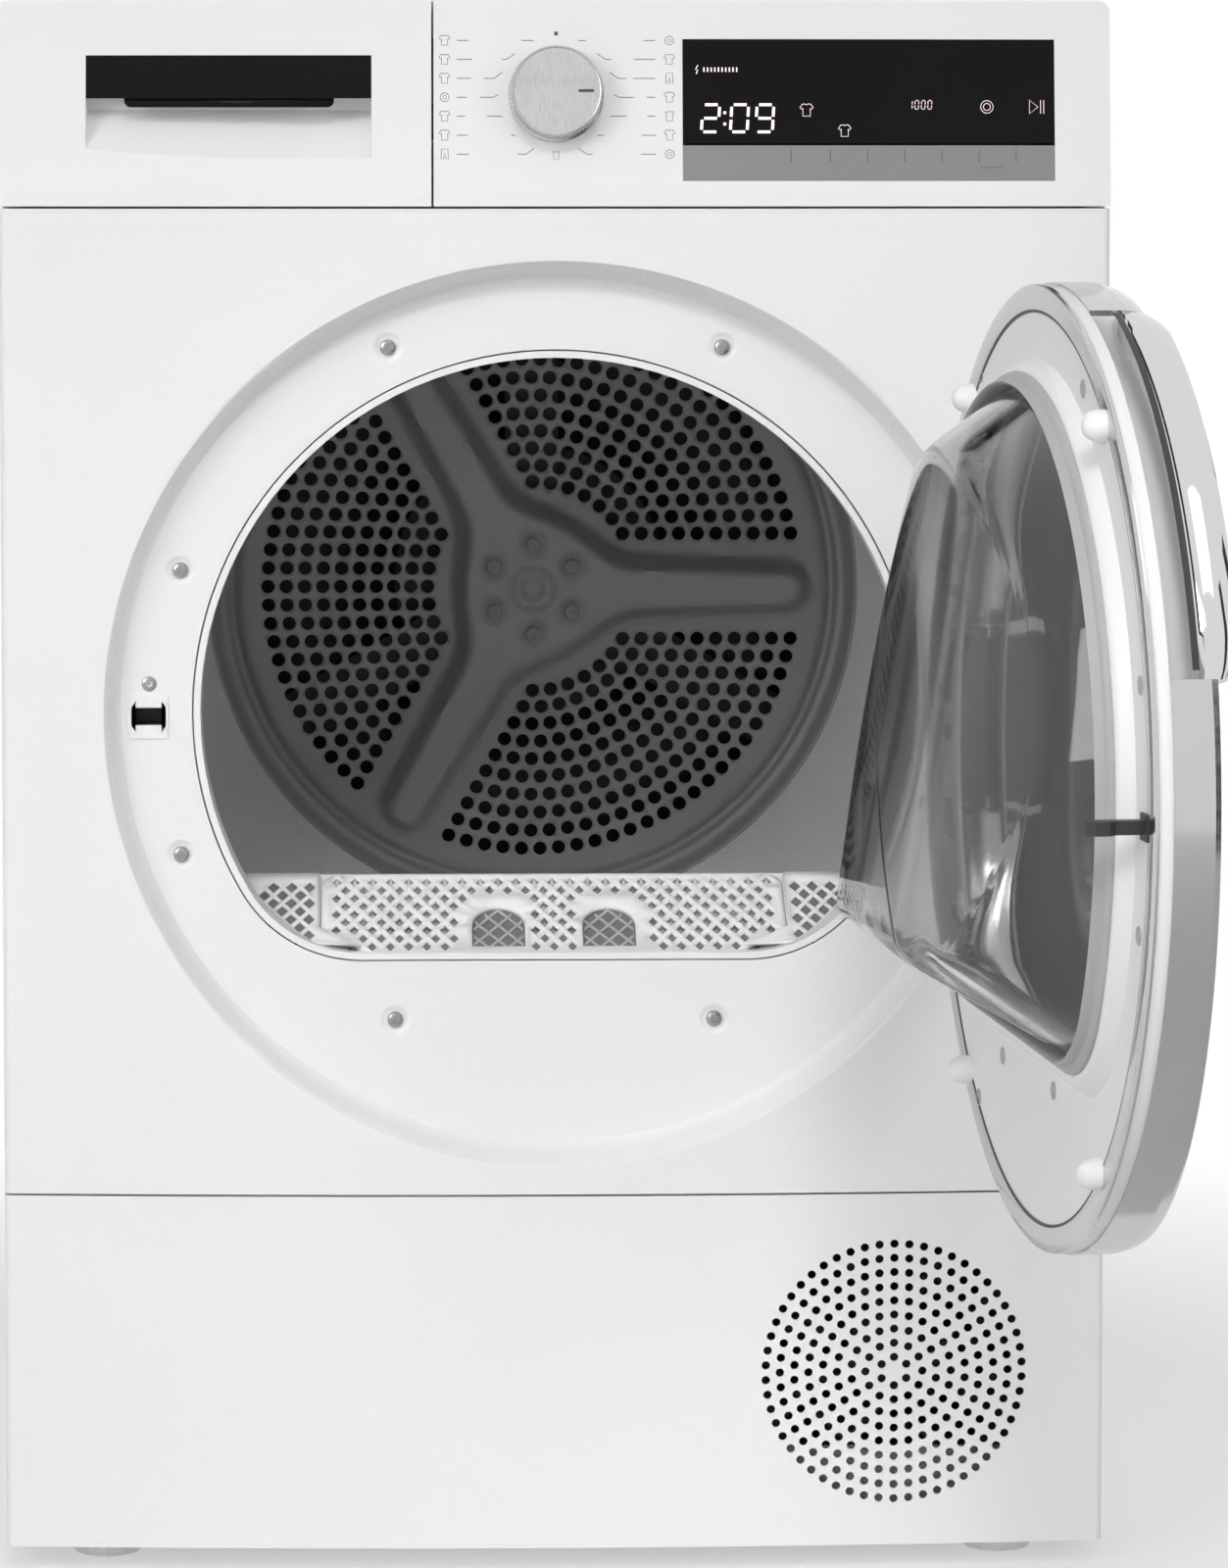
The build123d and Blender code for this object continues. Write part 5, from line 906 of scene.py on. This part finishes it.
def door_grip():
    """The chromed grip that swells out of the ring, and a black band beside it that paints the shade in the
    groove between grip and ring.
    """
    low, sweep = math.radians(108), math.radians(56)
    ring_middle, foot = 230.5, 22
    profile = ((-7, 23), (-8.5, 27), (-8.5, 34), (-6.5, 39), (-3, 42), (2, 43), (6, 41.5), (8, 37.5),
               (8.5, 31), (7.5, 25), (4, 22))
    rows = []
    steps = 48
    for i in range(steps + 1):
        share = i / steps
        swell = min(1, math.sin(math.pi * share) * 3.2) ** 0.5
        turn = low + sweep * share
        row = []
        for out, height in profile:
            radius = (ring_middle + out * (0.8 + 0.2 * swell)) * mm
            lift = (foot + (height - foot) * (0.66 + 0.34 * swell)) * mm
            row.append(around(door_place, radius, turn, lift))
        rows.append(row)
    shape = skin(rows, caps=both_ends)
    piece("chromed_grip", shape, bright_chrome, "door", ("door_handle",), 40)
    groove_shade_profile = ((238.1, 18.5), (238.45, 18.8), (238.45, 21.4), (238.1, 21.8))
    arc_band("grip_groove_shade", black, groove_shade_profile, 109, 1.35, 41)


door_window()
clear_bowl()
gasket_and_shoulder()
rim_bead()
door_studs()
door_grip()


# ------------------------------------------------------------------ latch
def latch_frame():
    """A white latch housing with its dark slot, set in the dish."""
    middle = Vector((latch_middle.x, door_z + latch_middle.y))
    face = front_y + dish_depth - 1.2 * mm
    slot = Vector((8.8 * mm, 4.6 * mm))
    bevel = Vector((0.5 * mm, 0.5 * mm))

    def box_at(size, depth):
        return [Vector((middle.x + a * size.x, face + depth * mm, middle.y + b * size.y)) for a, b in square]

    edge = ((0, 3.2), (0, 0.6), (0.5, 0.15), (1.1, 0), (4, 0))
    rows = [box_at(latch_size / 2 - Vector((inset, inset)) * mm, depth) for inset, depth in edge]
    shape = skin(rows + [box_at(slot + bevel, 0), box_at(slot, 0.6)])
    piece("latch_frame", shape, white, "cabinet", ("door_latch",), 30, towards_front)
    shape = skin([box_at(slot, 0.6), box_at(slot, 18)], caps=(-1,))
    piece("latch_slot", shape, black, "cabinet", (), 30, towards_front)


latch_frame()

# ------------------------------------------------------------------ control fascia
height = cad_high.z
fascia_bottom = height - 110 * mm
fascia_slope = 13 / 110
knob_z = height - 50.5 * mm
on_face = 0.06 * mm
on_glass = -0.33 * mm
display_right = half_width - 30 * mm
display_left = display_right - 200 * mm
display_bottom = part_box("display_window")[0].z


def on_fascia(x, z, proud):
    """A point just proud of the bowed, leaning fascia."""
    return Vector((x, front_y + bow(x) + fascia_slope * (z - fascia_bottom) - proud, z))


def stroke(shape, points, width, proud, closed=False):
    """A printed line of even width on the fascia."""
    points = [Vector(point) for point in points]
    count = len(points)
    sides = []
    for i, point in enumerate(points):
        before = points[i - 1] if i or closed else point
        after = points[(i + 1) % count] if i < count - 1 or closed else point
        along = (after - before).normalized()
        normal = Vector((-along.y, along.x)) * width / 2
        ends = (point + normal, point - normal)
        sides.append([shape.verts.new(on_fascia(*end, proud)) for end in ends])
    for near, far in zip(sides, sides[1:] + (sides[:1] if closed else [])):
        shape.faces.new((near[0], near[1], far[1], far[0]))


shirt = ((-3.4, 1.2), (-2.2, 3), (-0.9, 3.2), (0, 2.7), (0.9, 3.2), (2.2, 3), (3.4, 1.2), (2.3, 0.4),
         (1.9, 1), (1.9, -3), (-1.9, -3), (-1.9, 1), (-2.3, 0.4))
trousers = ((-2, 3.2), (2, 3.2), (2.2, -3), (0.6, -3), (0, 1), (-0.6, -3), (-2.2, -3))
towel = ((-2.6, 2.8), (2.6, 2.8), (2.6, 1.6), (1.9, 1.6), (1.9, -3), (-1.9, -3), (-1.9, 1.6), (-2.6, 1.6))
ball = circle(0, 0, 2.7, 16)


def icon(shape, form, x, z, size, width, proud):
    """One outlined sign, drawn about a middle."""
    stroke(shape, [(x + a * size * mm, z + b * size * mm) for a, b in form], width * mm, proud, True)


def dial_print():
    """Leader lines, signs and the off mark round the program knob."""
    shape = bmesh.new()
    left_forms = (shirt, shirt, shirt, ball, shirt, shirt, trousers)
    right_forms = (ball, shirt, trousers, shirt, towel, shirt, ball)
    start_radius, end_x, top_row, row_pitch = 31, 53, 28.9, 10.1
    for side, sign_x, forms in ((-1, -59.5 * mm, left_forms), (1, 60.5 * mm, right_forms)):
        for row, form in enumerate(forms):
            turn = math.radians(22.5 * (row + 1))
            level = top_row - row_pitch * row
            x, up = start_radius * math.sin(turn), start_radius * math.cos(turn)
            z = knob_z + level * mm
            near = (side * x * mm, knob_z + up * mm)
            elbow = side * (x + 1.1 * abs(up - level) + 1) * mm
            stroke(shape, [near, (elbow, z), (side * end_x * mm, z)], 0.42 * mm, on_face)
            icon(shape, form, sign_x, z, 0.86, 0.36, on_face)
            if form is ball:
                icon(shape, form, sign_x, z, 0.36, 0.28, on_face)
    stroke(shape, [(0, knob_z + 31.6 * mm), (0, knob_z + 33.6 * mm)], 2 * mm, on_face)
    icon(shape, towel, 0, knob_z - 32.4 * mm, 0.7, 0.28, on_face)
    piece("dial_print", shape, ink, "cabinet", (), 60, towards_front)


segments = {
    "a": ((0.12, 1), (0.88, 1)), "b": ((1, 0.92), (1, 0.56)), "c": ((1, 0.44), (1, 0.08)),
    "d": ((0.12, 0), (0.88, 0)), "e": ((0, 0.44), (0, 0.08)), "f": ((0, 0.92), (0, 0.56)),
    "g": ((0.12, 0.5), (0.88, 0.5)),
}
digits = {"0": "abcdef", "1": "bc", "2": "abged", "9": "abcdfg"}


def figure(shape, number, x, z, wide, tall, width):
    """One seven-segment figure with a slight lean."""
    for name in digits[number]:
        ends = [(x + (a * wide + 0.06 * b * tall) * mm, z + b * tall * mm) for a, b in segments[name]]
        stroke(shape, ends, width * mm, on_glass)


def display_print():
    """The lit figures, scale and signs behind the display's glass."""
    shape = bmesh.new()
    left = display_left
    base = display_bottom + 6 * mm

    def line(points, width, closed=False):
        stroke(shape, [(left + a * mm, base + b * mm) for a, b in points], width * mm, on_glass, closed)

    def sign(form, across, up, size, width):
        icon(shape, form, left + across * mm, base + up * mm, size, width, on_glass)

    for number, across in (("2", 10), ("0", 25.5), ("9", 39)):
        figure(shape, number, left + across * mm, base, 9, 14.5, 1.5)
    for up in (4.2, 10.2):
        line(((21.8, up), (23.3, up)), 1.5)
    for i in range(10):
        across = 11.5 + 1.95 * i
        line(((across, 32), (across, 34.4)), 0.7)
    line(((8.2, 35.6), (7, 33.2), (8.2, 33.2), (7.4, 30.8)), 0.5)
    for i, number in enumerate("1000"):
        figure(shape, number, left + (121 + 3.5 * i) * mm, base + 12.2 * mm, 2.0, 4.6, 0.34)
    sign(shirt, 66.4, 11.6, 1.05, 0.3)
    sign(shirt, 86.8, 0.6, 1.0, 0.3)
    for size in (1.25, 0.7):
        sign(ball, 163.4, 13.4, size, 0.26)
    line(((186.4, 17), (191, 13.4), (186.4, 9.8)), 0.32, True)
    for across in (192.4, 194.1):
        line(((across, 9.8), (across, 17)), 0.32)
    piece("display_signs", shape, lit, "cabinet", (), 60, towards_front)


def strip_print():
    """Fine lines between the touch keys."""
    shape = bmesh.new()
    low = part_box("touch_strip")[0].z

    def line(points, width):
        stroke(shape, [(display_left + a * mm, low + b * mm) for a, b in points], width * mm, on_glass)

    for across in (58, 79, 99, 119, 139, 159, 179):
        line(((across, 10), (across, 16.8)), 0.35)
    line(((160, 8), (160, 7.2), (172, 7.2), (172, 8)), 0.3)
    piece("strip_marks", shape, ink, "cabinet", (), 60, towards_front)


knob_lean = math.pi / 2 - math.atan(fascia_slope)
knob_place = Matrix.Translation(on_fascia(0, knob_z, 0)) @ Matrix.Rotation(knob_lean, 4, "X")


def knurled_knob():
    """The program knob: a base ring, a finely ribbed side and a polished rim."""
    profile = ((23.5, 0.5, 0), (25.4, 0.6, 0), (25.4, 2.6, 0), (24.6, 3.2, 0), (24.1, 3.4, 1),
               (24.1, 13.6, 1), (24.2, 14, 0), (24.2, 15.6, 0), (23.8, 16.6, 0), (23.3, 17, 0),
               (22.95, 16.9, 0), (22.9, 15.4, 0))
    steps = 288
    rib = 0.28
    rows = []
    for radius, height, ribbed in profile:
        row = []
        for i in range(steps):
            out = radius + (rib if ribbed and i % 4 < 2 else 0)
            row.append(around(knob_place, out * mm, math.tau * i / steps, height * mm))
        rows.append(row)
    shape = skin(rows, caps=both_ends)
    piece("knurled_knob", shape, knob_metal, "program_knob", ("program_knob",), 25)
    # A dark strip on the knob's face paints the shade in its pointer groove
    shape = bmesh.new()
    place = knob_place @ Matrix.Translation((0, 0, 16.55 * mm))
    corners = ((11.3, -0.7), (19.8, -0.7), (19.8, 0.7), (11.3, 0.7))
    shape.faces.new([shape.verts.new(place @ Vector((x * mm, y * mm, 0))) for x, y in corners])
    piece("knob_pointer_groove_shade", shape, ink, "program_knob", (), 30, towards_front)


def drawer_lip_and_slot_shade():
    """The black lip under the drawer's label strip, drawn down over the finger slot so that it also paints
    the slot's shade.
    """
    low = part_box("drawer_label_strip")[0].z
    middle, half, drop, corner = -174.5 * mm, 56 * mm, 4.6 * mm, 3.5 * mm
    outline = [(middle - half, low + 0.2 * mm)]
    for side, begin in ((-1, math.pi), (1, 1.5 * math.pi)):
        for i in range(7):
            turn = begin + math.pi / 2 * i / 6
            x = middle + side * (half - corner) + corner * math.cos(turn)
            outline.append((x, low - drop + corner + corner * math.sin(turn)))
    outline.append((middle + half, low + 0.2 * mm))
    shape = sheet_of([outline], [], lambda x, z: True, lambda x, z: on_fascia(x, z, -0.4 * mm))
    piece("drawer_lip_and_slot_shade", shape, label_black, "water_drawer", (), 30, towards_front, 1.6 * mm)


dial_print()
display_print()
strip_print()
knurled_knob()
drawer_lip_and_slot_shade()

# ------------------------------------------------------------------ stage
def seen_directly(tree):
    """1 for camera, mirror and glass rays, 0 for the rays that light the object."""
    path = add_node(tree, "LightPath", {})
    value = path.outputs["Is Camera Ray"]
    for ray in ("Is Glossy Ray", "Is Transmission Ray"):
        value = add_node(tree, "Math", {0: value, 1: path.outputs[ray]}, operation="MAXIMUM").outputs[0]
    return value


def stage_sheet():
    """A pale floor that curves up into a backdrop well behind the object."""
    material = bpy.data.materials.new("stage_white")
    material.use_nodes = True
    tree = material.node_tree
    shader = tree.nodes["Principled BSDF"]
    fill(tree, shader, {"Base Color": (0.86, 0.86, 0.86, 1), "Roughness": 0.85, "Specular IOR Level": 0.1})
    # Away from the object the floor shows as plain white, so only its soft shadow is left
    coords = add_node(tree, "TexCoord", {}).outputs["Object"]
    away = add_node(tree, "VectorMath", {0: coords}, operation="LENGTH").outputs["Value"]
    inputs = {"From Min": 0.45, "From Max": 1.0, "To Min": 0.5, "Value": away}
    fade = add_node(tree, "MapRange", inputs).outputs["Result"]
    shown = add_node(tree, "Math", {0: fade, 1: seen_directly(tree)}, operation="MULTIPLY").outputs[0]
    plain = add_node(tree, "Emission", {}).outputs[0]
    choose = add_node(tree, "MixShader", {0: shown, 1: shader.outputs[0], 2: plain})
    fill(tree, tree.nodes["Material Output"], {"Surface": choose.outputs[0]})
    profile = ((-9.0, 0.0), (4.0, 0.0), (5.0, 0.12), (5.6, 0.5), (6.0, 1.2), (6.0, 9.0))
    shape = skin([[(x, y, z) for x in (-12.0, 12.0)] for y, z in profile], closed=False)
    add_mesh("stage_sheet", shape, material)


def studio_world():
    """A soft light from all sides, seen as plain white by the camera, in mirrors and through glass."""
    world = bpy.data.worlds.new("studio")
    bpy.context.scene.world = world
    world.use_nodes = True
    tree = world.node_tree
    tree.nodes.clear()
    ambient = add_node(tree, "Background", {"Strength": 0.38}).outputs[0]
    backdrop = add_node(tree, "Background", {"Color": (1, 1, 1, 1), "Strength": 1.0}).outputs[0]
    choose = add_node(tree, "MixShader", {0: seen_directly(tree), 1: ambient, 2: backdrop})
    add_node(tree, "OutputWorld", {"Surface": choose.outputs[0]})


def aimed(thing, place, aim):
    """Put a lamp or a card at a place, turned to a point."""
    thing.location = place
    thing.rotation_euler = (Vector(aim) - Vector(place)).to_track_quat("-Z", "Y").to_euler()


def softbox(name, place, aim, width, height, power, mirrored=True, spread=180):
    """A large soft rectangular lamp that faces a point, shown or not in mirrors."""
    lamp = bpy.data.lights.new(name, "AREA")
    lamp.shape = "RECTANGLE"
    lamp.size = width
    lamp.size_y = height
    lamp.energy = power
    lamp.spread = math.radians(spread)
    light = bpy.data.objects.new(name, lamp)
    aimed(light, place, aim)
    light.visible_glossy = mirrored
    bpy.context.collection.objects.link(light)


def card(name, place, aim, width, height, material):
    """A card beside the camera that only mirrors see, for contrast in the chrome."""
    shape = bmesh.new()
    shape.faces.new([shape.verts.new((a * width / 2, b * height / 2, 0)) for a, b in square])
    sheet = add_mesh(name, shape, material)
    aimed(sheet, place, aim)
    for rays in ("camera", "diffuse", "shadow", "transmission"):
        setattr(sheet, f"visible_{rays}", False)


stage_sheet()
studio_world()
softbox("key_left", (-2.4, -3.2, 1.9), (0, -0.3, 0.5), 1.8, 2.2, 52)
softbox("fill_right", (2.6, -3.0, 1.5), (0, -0.3, 0.5), 1.6, 2.2, 28, mirrored=False)
softbox("top_front", (0, -2.4, 3.4), (0, -0.2, 0.4), 2.4, 1.6, 9)
softbox("front_low", (0.2, -4.6, 0.5), (0, -0.3, 0.45), 3.0, 1.2, 4, mirrored=False)
softbox("drum_wash", (0, -2.6, 2.1), (0, -0.1, 0.15), 0.8, 0.6, 0.85, mirrored=False, spread=26)
cards_middle = Vector((0.3, -0.5, 1.0))
for turn, width in ((-50, 0.25), (-18, 0.35), (20, 0.5)):
    spot = cards_middle + Matrix.Rotation(math.radians(turn), 3, "Z") @ Vector((2, 0, 0))
    card(f"dark_card_{abs(turn)}", spot, (0.3, -0.5, 0.8), width, 2.4, black)
card("floor_card", (0.9, -2.0, 0.02), (0.9, -2.0, 2), 1.6, 3.0, white)

# ------------------------------------------------------------------ camera
camera_data = bpy.data.cameras.new("camera")
camera_data.sensor_width = 36.0
camera_data.lens = 118.72
camera_data.shift_x = 0.06
camera_data.shift_y = -0.2
camera = bpy.data.objects.new("camera", camera_data)
camera.location = (-0.0793, -3.057, 0.765)
camera.rotation_euler = (math.radians(90 - 3.441), 0, math.radians(-1.243))
bpy.context.collection.objects.link(camera)
bpy.context.scene.camera = camera
bpy.context.scene.view_settings.view_transform = "Standard"
